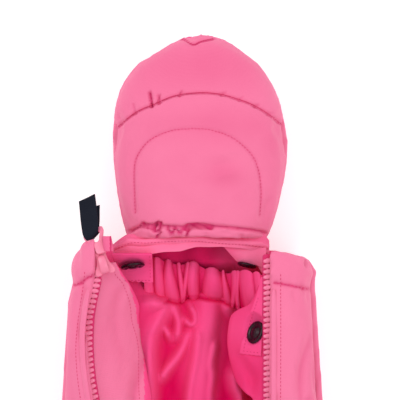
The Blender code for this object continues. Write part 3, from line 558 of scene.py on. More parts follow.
# %% Which panels, and how finely
PADS = [
    Pad("foot_left_upper", parts("foot_left", "toe", "side", "vamp", "ankle"), 2.0, 0.7, 1.4, 8),
    Pad("foot_left_sole", ["foot_left_sole"], 2.6, 0.4, 1.2, 6),
    Pad("leg_left_outer", ["leg_left_front_outer", "hem_left_outer"], 2.4, 0.7, 2.2, 8),
    Pad("leg_left_inner", ["leg_left_front_inner", "hem_left_inner"], 2.4, 0.7, 2.2, 8),
    Pad("leg_left_back", ["leg_left_back", "hem_left_back"], 3.2, 0.7, 1.4, 6),
    Pad("torso_front_left", ["torso_front_left"], 4.2, 1.0, 4.5, 5),
    Pad("torso_front_right", ["torso_front_right"], 4.2, 1.0, 4.5, 5),
    Pad("torso_back", ["torso_back"], 5.0, 1.0, 2.5, 5),
    Pad("leg_right_front", ["leg_right_front", "hem_right_front"], 3.6, 0.8, 4.0, 6),
    Pad("leg_right_back", ["leg_right_back", "hem_right_back"], 4.6, 0.8, 2.0, 6),
    Pad("hood_back", ["hood_back"], 5.0, 1.0, 2.5, 5),
    Pad("foot_right_upper", parts("foot_right", "toe", "side", "vamp", "ankle"), 2.6, 0.7, 1.4, 8),
    Pad("foot_right_sole", ["foot_right_sole"], 3.4, 0.4, 1.2, 6),
]
for side in ("left", "right"):
    PADS += [
        Pad("sleeve_" + side + "_upper", ["sleeve_" + side + "_upper"], 4.2, 1.0, 4.0, 5),
        Pad("sleeve_" + side + "_under", ["sleeve_" + side + "_under"], 4.8, 1.0, 2.5, 5),
        Pad("cuff_" + side, ["cuff_" + side], 3.0, 0.5, 1.6, 4),
        Pad("hood_side_" + side, ["hood_side_" + side], 4.2, 1.0, 3.5, 5),
    ]

pads = {pad.name: start_pad(pad) for pad in PADS}
fill_with_air([pads[pad.name] for pad in PADS], [pad.cap for pad in PADS])
for pad in PADS:
    applied(pads[pad.name], "SUBSURF", levels=1, render_levels=1)
    fit_to_solids(pads[pad.name], pad.nodes)
    smooth_shaded(pads[pad.name])
print(len(pads), "pads,", sum(len(piece.data.polygons) for piece in pads.values()), "faces")

# %% [markdown]
# ## Pressing seams and creases into the padding
# A seam pulls padding down in a narrow channel, and the gathers along it are
# short folds that fade into the panel. A crease is a soft trough with a low
# ridge on each side. Both are lines drawn on a plan of the piece, so each is
# given as a few places in millimetres, on the ruler of the limb that it lies
# on. `press` moves only points that face up, so a panel's inside stays put.

# %% Rulers, paths and the press
Ruler = namedtuple("Ruler", "x y turn")
LEFT_LEG = Ruler(HEM.x / MM, HEM.y / MM, SPLAY)
RIGHT_LEG = Ruler(-HEM.x / MM, HEM.y / MM, -SPLAY)
BODY = Ruler(0.0, 0.0, 0.0)
SPAN_STEPS = 24  # how finely a curve is drawn between two of its places
SIDE_ON, UPWARD = -0.1, 0.3  # a normal's up part where pressing starts, and where it is full


def on_ruler(places, ruler):
    """Places in metres as across, along and up in mm on a ruler."""
    moved = places / MM - np.array([ruler.x, ruler.y, 0.0])
    cosine, sine = math.cos(ruler.turn), math.sin(ruler.turn)
    return np.stack([moved[:, 0] * cosine + moved[:, 1] * sine,
                     moved[:, 1] * cosine - moved[:, 0] * sine, moved[:, 2]], axis=1)


def off_ruler(places, ruler):
    """The way back, from mm on a ruler to metres."""
    cosine, sine = math.cos(ruler.turn), math.sin(ruler.turn)
    return np.stack([ruler.x + places[:, 0] * cosine - places[:, 1] * sine,
                     ruler.y + places[:, 1] * cosine + places[:, 0] * sine,
                     places[:, 2]], axis=1) * MM


def run_of(line):
    """How far along a line each of its points lies."""
    return np.concatenate([[0.0], np.cumsum(np.linalg.norm(np.diff(line, axis=0), axis=1))])


def along_line(steps, run, line):
    """The places that lie so far along a line."""
    return np.stack([np.interp(steps, run, line[:, k]) for k in range(line.shape[1])], axis=1)


def curve_through(points, count=60):
    """A smooth curve through a few points, at even steps along it."""
    keys = np.array(points, float)
    keys = np.vstack([2 * keys[0] - keys[1], keys, 2 * keys[-1] - keys[-2]])
    found = []
    for a, b, c, d in zip(keys, keys[1:], keys[2:], keys[3:]):
        for t in np.linspace(0.0, 1.0, SPAN_STEPS, endpoint=False):
            found.append(0.5 * (2 * b + (c - a) * t + (2 * a - 5 * b + 4 * c - d) * t ** 2
                                + (3 * b - a - 3 * c + d) * t ** 3))
    found = np.array(found + [keys[-2]])
    run = run_of(found)
    return along_line(np.linspace(0.0, run[-1], count), run, found)


def near_path(flat, path):
    """For each flat place: how far from a path, how far along it, and which side."""
    best = np.full(len(flat), 1e9)
    run, side = np.zeros(len(flat)), np.zeros(len(flat))
    gone = 0.0
    for a, b in zip(path, path[1:]):
        step = b - a
        length = max(np.linalg.norm(step), 1e-9)
        share = np.clip((flat - a) @ step / length ** 2, 0.0, 1.0)
        away = flat - (a + share[:, None] * step)
        distance = np.linalg.norm(away, axis=1)
        closer = distance < best
        best = np.where(closer, distance, best)
        run = np.where(closer, gone + share * length, run)
        side = np.where(closer, np.sign(step[0] * away[:, 1] - step[1] * away[:, 0]), side)
        gone += length
    return best, run, side


def paint_shade(piece, chosen, amount):
    """Raise the painted shade on some points, for the cloth materials to read."""
    data = piece.data.attributes.get(SHADE_ATTRIBUTE) or piece.data.attributes.new(SHADE_ATTRIBUTE, "FLOAT", "POINT")
    values = np.zeros(len(piece.data.vertices), np.float32)
    data.data.foreach_get("value", values)
    values[chosen] = np.maximum(values[chosen], amount)
    data.data.foreach_set("value", values)


def cloth_under(piece):
    return BVHTree.FromPolygons([vertex.co[:] for vertex in piece.data.vertices],
                                [face.vertices[:] for face in piece.data.polygons])


def paint_shade_at(piece, ruler, depth_at):
    """Set the painted shade on points, from their places on a ruler."""
    local = on_ruler(points_of(piece), ruler)
    paint_shade(piece, np.ones(len(local), bool), np.clip(depth_at(*local.T), 0.0, 1.0))


def press(piece, ruler, points, push, reach, sheet=False):
    """Move points near a path by push(distance, run, side, length), in mm.
    A pad's upper face moves in along its normals. A sheet moves straight down,
    both faces together."""
    path = curve_through(points)[:, :2]
    places, normals = points_of(piece), points_of(piece, "normal")
    local = on_ruler(places, ruler)
    low, high = path.min(axis=0) - reach, path.max(axis=0) + reach
    near = np.all((local[:, :2] > low) & (local[:, :2] < high), axis=1)
    if not sheet:
        near &= normals[:, 2] > SIDE_ON
    if not near.any():
        return
    distance, run, side = near_path(local[near, :2], path)
    amount = push(distance, run, side, run_of(path)[-1])[:, None] * MM
    # Painted shade along the path: the colour darkens near its line.
    paint_shade(piece, near, push.stain * bell(distance, push.line) if push.stain else 0.0)
    if sheet:
        places[near] -= amount * np.array([0.0, 0.0, 1.0])
    else:
        places[near] -= normals[near] * amount * ramp(normals[near, 2:], SIDE_ON, UPWARD)
    put_points(piece, places)


def channel(depth, width, gathers=0.0, pitch=4.2, fold=5.0, one_side=0, stain=0.75):
    """A sewn channel, with gathers that fade over fold mm, on one side or both."""
    def push(distance, run, side, length):
        sunk = depth * bell(distance, width)
        phase = 2 * np.pi * run / pitch + 1.5 * np.sin(run / 7.3) + 1.1 * np.sin(run / 2.9)
        strength = 0.55 + 0.45 * np.sin(run / 9.7 + 1.0)
        waves = gathers * np.sin(phase) * strength * np.exp(-distance / fold)
        if one_side:
            waves = waves * (side * one_side > 0)
        return sunk + waves
    # A channel also paints shade into the colour along its seam line.
    push.stain, push.line = stain, 0.55 + 0.2 * width
    return push


def trough(depth, width, ridge=0.35):
    """A soft crease that fades at both ends, with a low ridge on each side."""
    def push(distance, run, side, length):
        fade = np.sin(np.pi * np.clip(run / length, 0.02, 0.98)) ** 0.7
        rise = ridge * bell(distance - 1.9 * width, width)
        return depth * fade * (bell(distance, width) - rise)
    # A crease deeper than 0.6 mm paints shade into its hollow.
    push.stain, push.line = 0.22 * max(0.0, depth - 0.6), width * 0.6
    return push


print("press is ready")

# %% [markdown]
# ## The open leg's foot cover
# Its upper is three padded panels: a toe cap gathered into a crescent seam, a
# side that runs round the instep, and a tongue held down by a row of stitches.
# An elastic edge draws them in at the ankle. The toe cap's fullness is eased in
# by little pleats, deepest where the seam turns, and at the very toe the sole's
# edge rolls up in a shallow V.

# %% Seams and creases of the left foot cover
TOE_SEAM = [(-42.5, 66.8), (-41.4, 68.6), (-30.8, 77), (-19.6, 82), (-8.4, 86.5), (5.6, 88.2),
            (16.8, 87.4), (25.2, 85.1), (33.6, 82.2), (43.1, 77), (52.6, 70), (53.6, 68.8)]
TONGUE_SEAM = [(-30.8, 21), (-31.2, 30), (-31.4, 44.8), (-29.4, 53.2), (-22.4, 61.6), (-11.2, 66.6),
               (0, 67.8), (11.2, 67.2), (23.5, 63), (33.6, 54.6), (38.1, 45.9), (39.9, 33.6), (39.3, 19)]
TIP_SEAM = [(-6.6, 119.4), (-3, 118.6), (1.7, 115.7), (6, 117.4), (13.4, 119.2)]
Crease = namedtuple("Crease", "start end depth width")
Pleat = namedtuple("Pleat", "share length depth")
Pocket = namedtuple("Pocket", "depth width path")
Shade = namedtuple("Shade", "across along wide long amount")


def creases(*rows):
    """A table of creases: across and along at the start and at the end, depth, width."""
    return [Crease(row[0:2], row[2:4], *row[4:]) for row in rows]


TOE_PLEATS = table(Pleat, (0.06, 4.4, 0.5), (0.15, 4.6, 0.8), (0.245, 7, 2.6), (0.285, 3.4, 2),
                   (0.40, 1.8, 1.4), (0.625, 1.5, 0.9), (0.72, 2, 0.7), (0.81, 1.6, 0.9),
                   (0.89, 1.9, 0.6), (0.95, 2.6, 0.5))
FOOT_CREASES = creases((8.4, 47.6, 30.8, 51.5, 0.7, 3.4), (20, 42, 26, 31, 0.8, 6),
                       (-42, 34, -33.5, 9, 1.1, 2.2), (-38, 30, -30.6, 12, 0.8, 1.9),
                       (45.5, 30, 41, 14, 0.8, 2.4), (-37, 64, -30, 72, 0.5, 3), (-18, 30, 6, 24, 0.5, 5),
                       (-26, 96, -6, 108, 0.5, 7), (14, 100, 34, 92, 0.4, 7))
ANKLE_SEAM = [(-34, 10), (-26.3, 13.6), (-14, 13.2), (-1.7, 12.7), (11.2, 13.2), (25.2, 12), (39.2, 10.2),
              (42.5, 9)]
ANKLE_FOLDS = creases((9, 10, 10, 6.5, 0.7, 1.6), (29, 9, 30, 6, 0.8, 1.6), (16, 10.6, 24, 9.4, 0.5, 1.2),
                      (-26, 9, -20, 5, 0.6, 2))
ANKLE_POCKETS = table(Pocket, (1.6, 1.6, [(-26.6, 14.2), (-24, 12.8), (-21.6, 12.2)]),
                      (2.2, 1, [(-17.9, 15.1), (-20.4, 12.9), (-20.2, 10.2), (-17.6, 11.6),
                                (-16.6, 14.8)]),
                      (2.4, 1, [(-17.2, 9.8), (-18, 8), (-18.9, 6)]),
                      (2.2, 0.9, [(-12.6, 12.5), (-11.8, 10.4), (-10.2, 8.2), (-9.4, 10)]),
                      (2.2, 0.9, [(-9, 12.4), (-7.3, 10.6), (-5.7, 8.4), (-5, 10.8)]),
                      (1.7, 0.9, [(-5, 11.6), (-3, 11.9), (-1.1, 11.8)]),
                      (1.8, 0.8, [(-1, 11), (-1.4, 9.4), (-1.8, 7.6)]),
                      (2.4, 1.3, [(-1.7, 13), (2.8, 13.5), (7.3, 13.2), (12, 12.6)]))
ANKLE_SLIDE = 3.8  # the tongue's edge rolls back over the elastic by this
TOP_LAYER = 24.0  # only cloth above this slides
# Soft patches of painted shade where the upper turns from the light: across, along, width, length and
# amount.
FOOT_SHADES = table(Shade, (8, 104, 44, 15, 0.26), (16, 70, 40, 11, 0.16), (19, 42, 11, 8, 0.20),
                    (50, 62, 12, 16, 0.15), (-44, 62, 10, 24, 0.12))


def roll_back(piece, ruler, amount):
    """Slide the rear edge of an upper back over its elastic."""
    local = on_ruler(points_of(piece), ruler)
    above, along = local[:, 2] > TOP_LAYER, local[:, 1]
    share = ramp(along, 36.0, 16.0) * ramp(along, -1.0, 11.0)
    local[:, 1] -= amount * above * share ** 2 * (3 - 2 * share)
    put_points(piece, off_ruler(local, ruler))


def press_pleats(piece, ruler, seam, pleats):
    """Short pleats that start on a seam and run away from it."""
    path = curve_through(seam, 200)[:, :2]
    for pleat in pleats:
        at = int(pleat.share * (len(path) - 2))
        step = path[at + 1] - path[at]
        out = np.array([-step[1], step[0]]) / np.linalg.norm(step)
        start = path[at] - out * 0.5
        end = path[at] + out * pleat.length + step * 3.0
        # Each pleat's hollow takes painted shade, more for a deeper pleat.
        press(piece, ruler, [start, (start + end) / 2, end],
              channel(pleat.depth, 0.8, stain=0.36 * pleat.depth), 6.0)


def press_creases(piece, ruler, found, **how):
    """A negative depth makes a ridge."""
    for crease in found:
        start, end = np.array(crease.start), np.array(crease.end)
        bow = np.array([end[1] - start[1], start[0] - end[0]]) * 0.06
        press(piece, ruler, [start, (start + end) / 2 + bow, end],
              trough(crease.depth, crease.width), 4 * crease.width, **how)


def shade_patches(piece, ruler, shades):
    """Paint shade into the colour in soft round patches."""
    across, along, up = on_ruler(points_of(piece), ruler).T
    for patch in shades:
        away = ((across - patch.across) / patch.wide) ** 2 + ((along - patch.along) / patch.long) ** 2
        paint_shade(piece, slice(None), (patch.amount * np.exp(-away)).astype(np.float32))


def mirrored(points):
    return [(-across, along) for across, along in points]


upper = pads["foot_left_upper"]
roll_back(upper, LEFT_LEG, ANKLE_SLIDE)
press(upper, LEFT_LEG, TOE_SEAM, channel(1.7, 0.8, 0.30, 4.4, 4.0, 1, 0.5), 16.0)
press(upper, LEFT_LEG, TONGUE_SEAM, channel(0.75, 0.9, 0.12, 3.4, 3.0, stain=0.3), 10.0)
press(upper, LEFT_LEG, TIP_SEAM, channel(1.1, 0.8), 6.0)
press_pleats(upper, LEFT_LEG, TOE_SEAM, TOE_PLEATS)
press(upper, LEFT_LEG, ANKLE_SEAM, channel(2.6, 0.9), 12.0)
press_creases(upper, LEFT_LEG, FOOT_CREASES + ANKLE_FOLDS)
shade_patches(upper, LEFT_LEG, FOOT_SHADES)
# The little pockets at the ankle lie in heavy shade, which is painted in.
for pocket in ANKLE_POCKETS:
    press(upper, LEFT_LEG, pocket.path, channel(pocket.depth, pocket.width, stain=0.95), 5.0)

upper = pads["foot_right_upper"]
press(upper, RIGHT_LEG, mirrored(TOE_SEAM), channel(1.2, 1.3, 0.25, 4.4, 4.0, -1), 16.0)
press(upper, RIGHT_LEG, mirrored(TONGUE_SEAM), channel(0.7, 1.0, 0.12, 3.4, 3.0, stain=0.3), 10.0)
print("foot covers: seams and", len(TOE_PLEATS), "pleats pressed")

# %% [markdown]
# The sole's edge is sewn to the upper all round, at one level. The seam shows
# from the side as a shallow groove with fine puckers under it.

# %% The seam round the sole
FOOT_MIDDLE, FOOT_RADIUS = (5.0, 50.0), 50.0


def press_level_seam(piece, ruler, level, depth, width, pucker):
    """A groove at one level round a foot cover, with puckers beside it."""
    places, normals = points_of(piece), points_of(piece, "normal")
    across, along, up = on_ruler(places, ruler).T
    across, along = across - FOOT_MIDDLE[0], along - FOOT_MIDDLE[1]
    turn = np.arctan2(along, across) * FOOT_RADIUS
    outward = across * normals[:, 0] + along * normals[:, 1] > 0.0
    waves = pucker * np.sin(turn * 1.45 + 1.4 * np.sin(turn / 5.3)) * np.exp(-np.abs(up - level) / 4.0)
    amount = depth * bell(up - level, width) + waves
    amount *= outward * np.clip(1.3 - np.abs(normals[:, 2]) * 1.3, 0.0, 1.0)
    put_points(piece, places - normals * amount[:, None] * MM)


for word, ruler, level in (("left", LEFT_LEG, 21.2), ("right", RIGHT_LEG, 11.2)):
    for part in ("upper", "sole"):
        press_level_seam(pads["foot_" + word + "_" + part], ruler, level, depth=0.9, width=1.6, pucker=0.12)
print("sole seams pressed")

# %% [markdown]
# ## Hem bands and leg panels
# Each hem ends in a padded band. Its seam is gathered a little, so the leg
# puckers below it and the band rolls over it. Long soft creases run down the
# outside of the legs, where the padding folds as the suit lies flat.

# %% Bands, folds and pleats of the legs
def slope_hem(piece, shifts):
    """Move a band's top along the leg by a table of (across, shift), its end in a little."""
    local = on_ruler(points_of(piece), LEFT_LEG)
    local[:, 1] += np.interp(local[:, 0], *np.array(shifts).T) * ramp(local[:, 1], -16.0, -1.0)
    local[:, 0] += 2.0 * ramp(local[:, 0], -60.0, -64.0) * ramp(local[:, 1], -30.0, -18.0)
    put_points(piece, off_ruler(local, LEFT_LEG))


OUTER_SLOPE = [(-67, -3), (-64, -1), (-61, 1.6), (-58, 4.2), (-55, 6), (-50, 6.2)]
INNER_SLOPE = [(44, -1.6), (49, -1.4), (57, -2.4), (63, -4.2), (67, -6), (70, -8.5)]
slope_hem(pads["leg_left_outer"], OUTER_SLOPE)
slope_hem(pads["leg_left_inner"], INNER_SLOPE)
slope_hem(pads["leg_left_back"], [(-67, -3), (-50, 0), (49, 0)] + INNER_SLOPE[2:])
OUTER_BAND = [(-68.5, -20.4), (-62, -18.6), (-57, -15.5), (-54, -14.5)]
INNER_BAND = [(47, -18.4), (52, -18.9), (59.9, -20.4), (69.5, -22.6)]
OUTER_CREASES = creases((-63, 4.5, -62, -4, 0.9, 1.4), (-60, -17, -58, -27, 0.9, 1.6),
                        (-64, -22, -62.5, -44, 0.8, 2.4), (-67, -58, -63, -96, 1, 4.5),
                        (-60, -100, -50, -150, 1.4, 6), (-66, -130, -58, -190, 1.6, 6),
                        (-40, -170, -22, -215, 1.5, 7))
INNER_CREASES = creases((65.2, -5, 65, -9.5, 1.7, 0.9), (62, -18.5, 64, -25, 1, 1.2),
                        (58, -20, 59, -30, 0.7, 1.5), (66.5, -20, 66, -30, 0.7, 1.2),
                        (53, -24, 52, -50, 0.5, 2.6), (68, -48, 62, -86, 1.6, 2.8),
                        (70.5, -58, 74, -88, 1.3, 2.6), (66, -84, 56, -140, 1.7, 4.5),
                        (58, -120, 66, -190, 1.5, 5), (74, -100, 76, -170, 1.2, 5))
outer, inner = pads["leg_left_outer"], pads["leg_left_inner"]
press(outer, LEFT_LEG, OUTER_BAND, channel(1.5, 1.3, 0.3, 4.0, 4.0), 12.0)
press(inner, LEFT_LEG, INNER_BAND, channel(1.3, 1.1, 0.35, 4.4, 4.0), 12.0)
press_creases(outer, LEFT_LEG, OUTER_CREASES)
press_creases(inner, LEFT_LEG, INNER_CREASES)

right = pads["leg_right_front"]
press(right, RIGHT_LEG, [(-72, -21), (-30, -19.5), (30, -19.5), (72, -21)],
      channel(1.7, 1.5, 0.5, 6.0, 6.0), 16.0)
right_creases = [Crease(*mirrored([crease.start, crease.end]), crease.depth, crease.width * 1.8)
                 for crease in OUTER_CREASES + INNER_CREASES]
right_creases += creases((-30, -60, 14, -76, 0.9, 11), (34, -96, -12, -112, 1, 12),
                         (-46, -140, 6, -152, 1, 12), (52, -176, 4, -196, 1.2, 12),
                         (-64, -206, -14, -222, 1.2, 11))
press_creases(right, RIGHT_LEG, right_creases)
print("legs:", len(OUTER_CREASES) + len(INNER_CREASES) + len(right_creases), "creases pressed")

# %% [markdown]
# ## Body, sleeves and hood
# The rest of the suit lies flat and closed. Its padding folds softly where a
# limb bends or a seam pulls: below the arms, at the elbows, at the hips and
# round the neck. The cuffs are drawn in by elastic, so small gathers run
# through them. Each sleeve gets a ruler of its own, from its cuff.

# %% Folds of the body, sleeves, cuffs and hood
CUFF_TURN = math.radians(40.5)
SLEEVES = {"left": Ruler(-338.0, -12.0, CUFF_TURN), "right": Ruler(338.0, -12.0, -CUFF_TURN)}
BODY_CREASES = {
    "torso_front_left": creases((-168, -120, -96, -84, 1.5, 9), (-160, -160, -84, -128, 1.2, 8),
                                (-172, 60, -112, 84, 1.1, 8), (-52, 84, -104, 108, 1, 7),
                                (-46, -20, -104, 6, 0.8, 12), (-24, -196, -62, -148, 0.9, 9),
                                (-30, -270, -70, -238, 1.2, 6), (-92, -262, -112, -214, 1, 7)),
    "torso_front_right": creases((168, -112, 88, -92, 1.4, 9), (158, -170, 94, -124, 1.3, 8),
                                 (172, 72, 120, 90, 1.2, 8), (20, 96, 88, 106, 0.9, 7),
                                 (28, 10, 92, -12, 0.9, 12), (16, -214, 54, -160, 0.8, 9),
                                 (24, -268, 62, -240, 1.1, 6), (96, -258, 110, -206, 1.1, 7)),
    "hood_side_left": creases((-56, -292, -74, -334, 1.3, 5), (-34, -292, -40, -312, 0.9, 3.4),
                              (-92, -350, -84, -400, 0.8, 6), (-72, -470, -88, -436, 0.9, 6)),
    "hood_side_right": creases((52, -292, 76, -328, 1.2, 5), (30, -290, 38, -316, 1, 3.6),
                               (94, -372, 82, -420, 0.9, 6), (50, -488, 74, -462, 0.8, 6)),
}
SLEEVE_CREASES = creases((-40, -92, 8, -110, 1.6, 7), (-44, -124, 2, -130, 1.4, 7),
                         (40, -84, 2, -98, 1, 8), (-28, -18, -20, -46, 0.9, 4), (4, -17, 0, -54, 1, 4.6),
                         (26, -18, 30, -44, 0.8, 4), (-40, -176, 16, -190, 1.2, 9))
CUFF_GATHERS = [Crease((at + 1.2 * math.sin(at), -12.0), (at + 1.6 * math.cos(at), 11.0),
                       0.9 + 0.3 * math.sin(2 * at), 1.5) for at in range(-35, 36, 5)]
for name, found in BODY_CREASES.items():
    press_creases(pads[name], BODY, found)
for word, ruler in SLEEVES.items():
    way = 1.0 if word == "right" else -1.0
    turned = [Crease((crease.start[0] * way, crease.start[1]),
                     (crease.end[0] * way, crease.end[1] - 6.0 * way), crease.depth, crease.width)
              for crease in SLEEVE_CREASES]
    press_creases(pads["sleeve_" + word + "_upper"], ruler, turned)
    press_creases(pads["cuff_" + word], ruler, CUFF_GATHERS)
print("body:", sum(len(rows) for rows in BODY_CREASES.values()), "creases")
print("sleeves:", len(SLEEVE_CREASES), "creases and", len(CUFF_GATHERS), "gathers each")

# %% [markdown]
# ## Thin cloth inside the open leg
# Linings, facings, tabs and the gaiter are single thin layers. The leg's lining
# is a copy of its solid, subdivided until creases can be pressed in. The others
# curl, fold or stand up, so each is a new grid of fine squares, laid on the
# leg's ruler by a function. Elastic draws the gaiter's free edge up into uneven
# lobes, and a table gives each lobe its place, width and height.

# %% Copies of thin layers
def thin_copy(node, levels=2):
    """A subdivided copy of one thin solid."""
    piece = panel_copy(node, "sheet_" + node)
    applied(piece, "SUBSURF", levels=levels, render_levels=levels)
    return smooth_shaded(piece)


def lift(piece, height):
    places = points_of(piece)
    places[:, 2] += height * MM
    put_points(piece, places)


def measured_area(piece):
    """Half the area of a thin piece's skin, which is its cloth's area, in m2."""
    return sum(face.area for face in piece.data.polygons) / 2


lining = thin_copy("lining_left_leg", 3)
lift(lining, 1.5)
# The lining lies inside the leg, out of the light, so it takes painted shade all over.
paint_shade_at(lining, LEFT_LEG, lambda across, along, up: np.full_like(up, 0.45))
print("lining:", len(lining.data.polygons), "faces")

# %% The foot's own lining
def foot_lining_place(s, t):
    """A loose bag on the sole, from inside the hem to the instep."""
    along = -26.0 + 84.0 * t
    half = np.interp(along, [-26.0, -8.0, 2.0, 20.0, 58.0], [46.0, 40.0, 30.0, 32.0, 34.0])
    across = 2.5 + half * (2 * s - 1)
    wall = ramp(np.abs(2 * s - 1), 0.6, 1.0) ** 1.6
    waves = 0.9 * np.sin(across / 4.2 + along / 9.0) + 0.6 * np.sin(across / 2.6 - along / 5.0)
    return across, along, 10.5 + 8.5 * ramp(along, -15.0, -7.0) + 8.0 * wall + waves


def new_sheet(name, columns, rows, place, thick, ruler=LEFT_LEG, sharp_degrees=None):
    """A fine grid, laid out in mm by place(s, t) on a ruler, given thickness."""
    piece = primitive(bpy.ops.mesh.primitive_grid_add, x_subdivisions=columns, y_subdivisions=rows,
                      size=1.0)
    piece.name = name
    flat = points_of(piece) + 0.5
    put_points(piece, off_ruler(np.stack(place(flat[:, 0], flat[:, 1]), axis=1), ruler))
    applied(piece, "SOLIDIFY", thickness=thick * MM, offset=0.0, use_even_offset=False)
    return smooth_shaded(piece, sharp_degrees)


foot_lining = new_sheet("foot_lining", 90, 70, foot_lining_place, 1.0)
# The foot's lining lies deep in the foot cover: heavy painted shade, lighter past 16 mm across, towards the
# inner side.
paint_shade_at(foot_lining, LEFT_LEG, lambda across, along, up: 0.85 - 0.5 / (1 + np.exp((16.0 - across) / 2.0)))
print("foot lining:", len(foot_lining.data.polygons), "faces")

# %% The gathered gaiter
Lobe = namedtuple("Lobe", "across half high flare")
LOBES = table(Lobe, (-23, 2.9, 2.4, 0), (-17, 2.9, 3, 0.1), (-10.2, 3.6, 4.6, 0.9), (-4.6, 1.3, 2.6, 0.3),
              (-1.4, 1.4, 3.4, -0.2), (3.4, 3.5, 5.4, 0.1), (12.9, 5.6, 5.2, 0.5), (20.8, 1.9, 3.4, 1.2),
              (25, 1.7, 3.2, -0.5), (28.6, 1.3, 3.2, 0.2), (33.6, 3.9, 4.8, -0.1), (39.2, 2, 4, -0.2))
Edge = namedtuple("Edge", "across seam free base")
GAITER_EDGES = table(Edge, (-26, -29, -5, 22), (-20, -30.5, -5.4, 17), (-16.2, -30.2, -6, 14.6),
                     (-12.3, -28.8, -7.4, 13), (-5.6, -30, -8.6, 12.2), (-1.7, -27.4, -8.4, 12),
                     (5.6, -26.9, -9.6, 12), (10, -27.6, -11.8, 12), (17.4, -28.8, -12.8, 12.4),
                     (21.3, -30.4, -13.6, 13.4), (26.3, -32.5, -13, 17), (34.2, -33.6, -13.4, 30),
                     (40.5, -31.4, -14, 45))
GAITER_ENDS = GAITER_EDGES[0].across, GAITER_EDGES[-1].across
NO_LOBE = 9.0  # in half widths, further than any place is from a lobe


def column(rows, name, at):
    """One column of a table, read smoothly at places on its first column."""
    path = curve_through([(row[0], getattr(row, name)) for row in rows], 200)
    return np.interp(at, path[:, 0], path[:, 1])


def lobes_at(across, t):
    """Height of the lobes over their folds, and how deep in a fold a place is."""
    height, best = np.zeros_like(across), np.full_like(across, NO_LOBE)
    for lobe in LOBES:
        half = lobe.half * (1.0 + lobe.flare * (0.5 - t)) * (0.92 + 0.16 * np.sin(np.pi * t))
        middle = lobe.across + 1.3 * np.sin(2.4 * t + lobe.across) - 0.8
        share = np.abs(across - middle) / half
        height = np.maximum(height, lobe.high * np.cos(np.clip(share, 0, 1) * np.pi / 2) ** 0.8)
        best = np.minimum(best, share)
    return height, ramp(best, 0.62, 1.12)


def gaiter_place(s, t):
    """s runs across the leg, t from the sewn edge to the free edge."""
    across = GAITER_ENDS[0] + (GAITER_ENDS[1] - GAITER_ENDS[0]) * s
    lobes, _ = lobes_at(across, t)
    swell = 0.35 + 0.65 * np.sin(np.pi * (0.16 + 0.78 * t))
    seam, free = column(GAITER_EDGES, "seam", across), column(GAITER_EDGES, "free", across)
    rise = 9.0 * np.sin(t * np.pi * 0.6)
    up = column(GAITER_EDGES, "base", across) + rise + (lobes - 1.0) * swell
    up -= 5.0 * ramp(across, -19.5, -22.5) * t
    along = seam + (free - seam) * t + 0.40 * lobes * (t - 0.5) * 2
    return across, along, up


# Painted shade in the gaiter's hollows between lobes, less towards its free edge, and along its sewn edge.
def gaiter_fold_shade(across, along, up):
    t = ramp(along, column(GAITER_EDGES, "seam", across), column(GAITER_EDGES, "free", across))
    return lobes_at(across, t)[1] * (1.0 - 0.35 * t) + 0.5 * bell(t - 0.02, 0.05)


gaiter = new_sheet("gaiter", 340, 46, gaiter_place, 0.9)
paint_shade_at(gaiter, LEFT_LEG, gaiter_fold_shade)
print("gaiter:", len(LOBES), "lobes")

# %% The line of a strip
CUT_IN = 1.2 * MM  # how far inside a strip's ends its first and last cuts are
HEADING = 4.0 * MM  # a line's direction is read over this much of it, each way


def centre_line(node, steps=400):
    """The middle of a long strip that runs from the hem to the neck, in metres."""
    mesh = frame["nodes"][node].data
    places = np.array([vertex.co for vertex in mesh.vertices])
    edges = np.array([edge.vertices[:] for edge in mesh.edges])
    low, high = places[edges].min(axis=1)[:, 1], places[edges].max(axis=1)[:, 1]
    found = []
    for level in np.linspace(places[:, 1].max() - CUT_IN, places[:, 1].min() + CUT_IN, steps):
        cut = edges[(low < level) & (high > level)]
        a, b = places[cut[:, 0]], places[cut[:, 1]]
        crossing = a + (b - a) * ((level - a[:, 1]) / (b[:, 1] - a[:, 1]))[:, None]
        found.append((crossing.min(axis=0) + crossing.max(axis=0)) / 2)
    return np.array(found)


def evenly(line, pitch):
    """Places at an even pitch along a line, and the direction at each."""
    run = run_of(line)
    at = np.arange(0.0, run[-1], pitch)
    heading = along_line(at + HEADING, run, line) - along_line(at - HEADING, run, line)
    return along_line(at, run, line), heading / np.linalg.norm(heading, axis=1, keepdims=True)


def strew(name, model, places, forwards, ups=None):
    """One piece of many copies of a model; its +Y points forwards and +Z up."""
    copies = []
    for place, forward, up in zip(places, forwards, ups or repeat((0.0, 0.0, 1.0))):
        y = Vector(forward).normalized()
        x = y.cross(Vector(up)).normalized()
        copy = bpy.data.objects.new(name, model.data.copy())
        copy.data.transform(Matrix((x, y, x.cross(y))).transposed().to_4x4())
        copy.data.transform(Matrix.Translation(Vector(place)))
        SCENE.collection.objects.link(copy)
        copies.append(copy)
    bpy.data.objects.remove(model, do_unlink=True)
    return joined(name, *copies)


# %% Facings and tabs
def strip_middle(node):
    """A strip's middle line on the left leg's ruler, from the neck to the hem."""
    line = on_ruler(centre_line(node), LEFT_LEG)
    return line[np.argsort(line[:, 1])]


CHAIN_LINES = {word: strip_middle("zip_chain_" + word) for word in ZIP_SIDES}


def chain_at(word, along):
    """Across and up of a chain at levels along the left leg."""
    line = CHAIN_LINES[word]
    return np.interp(along, line[:, 1], line[:, 0]), np.interp(along, line[:, 1], line[:, 2])


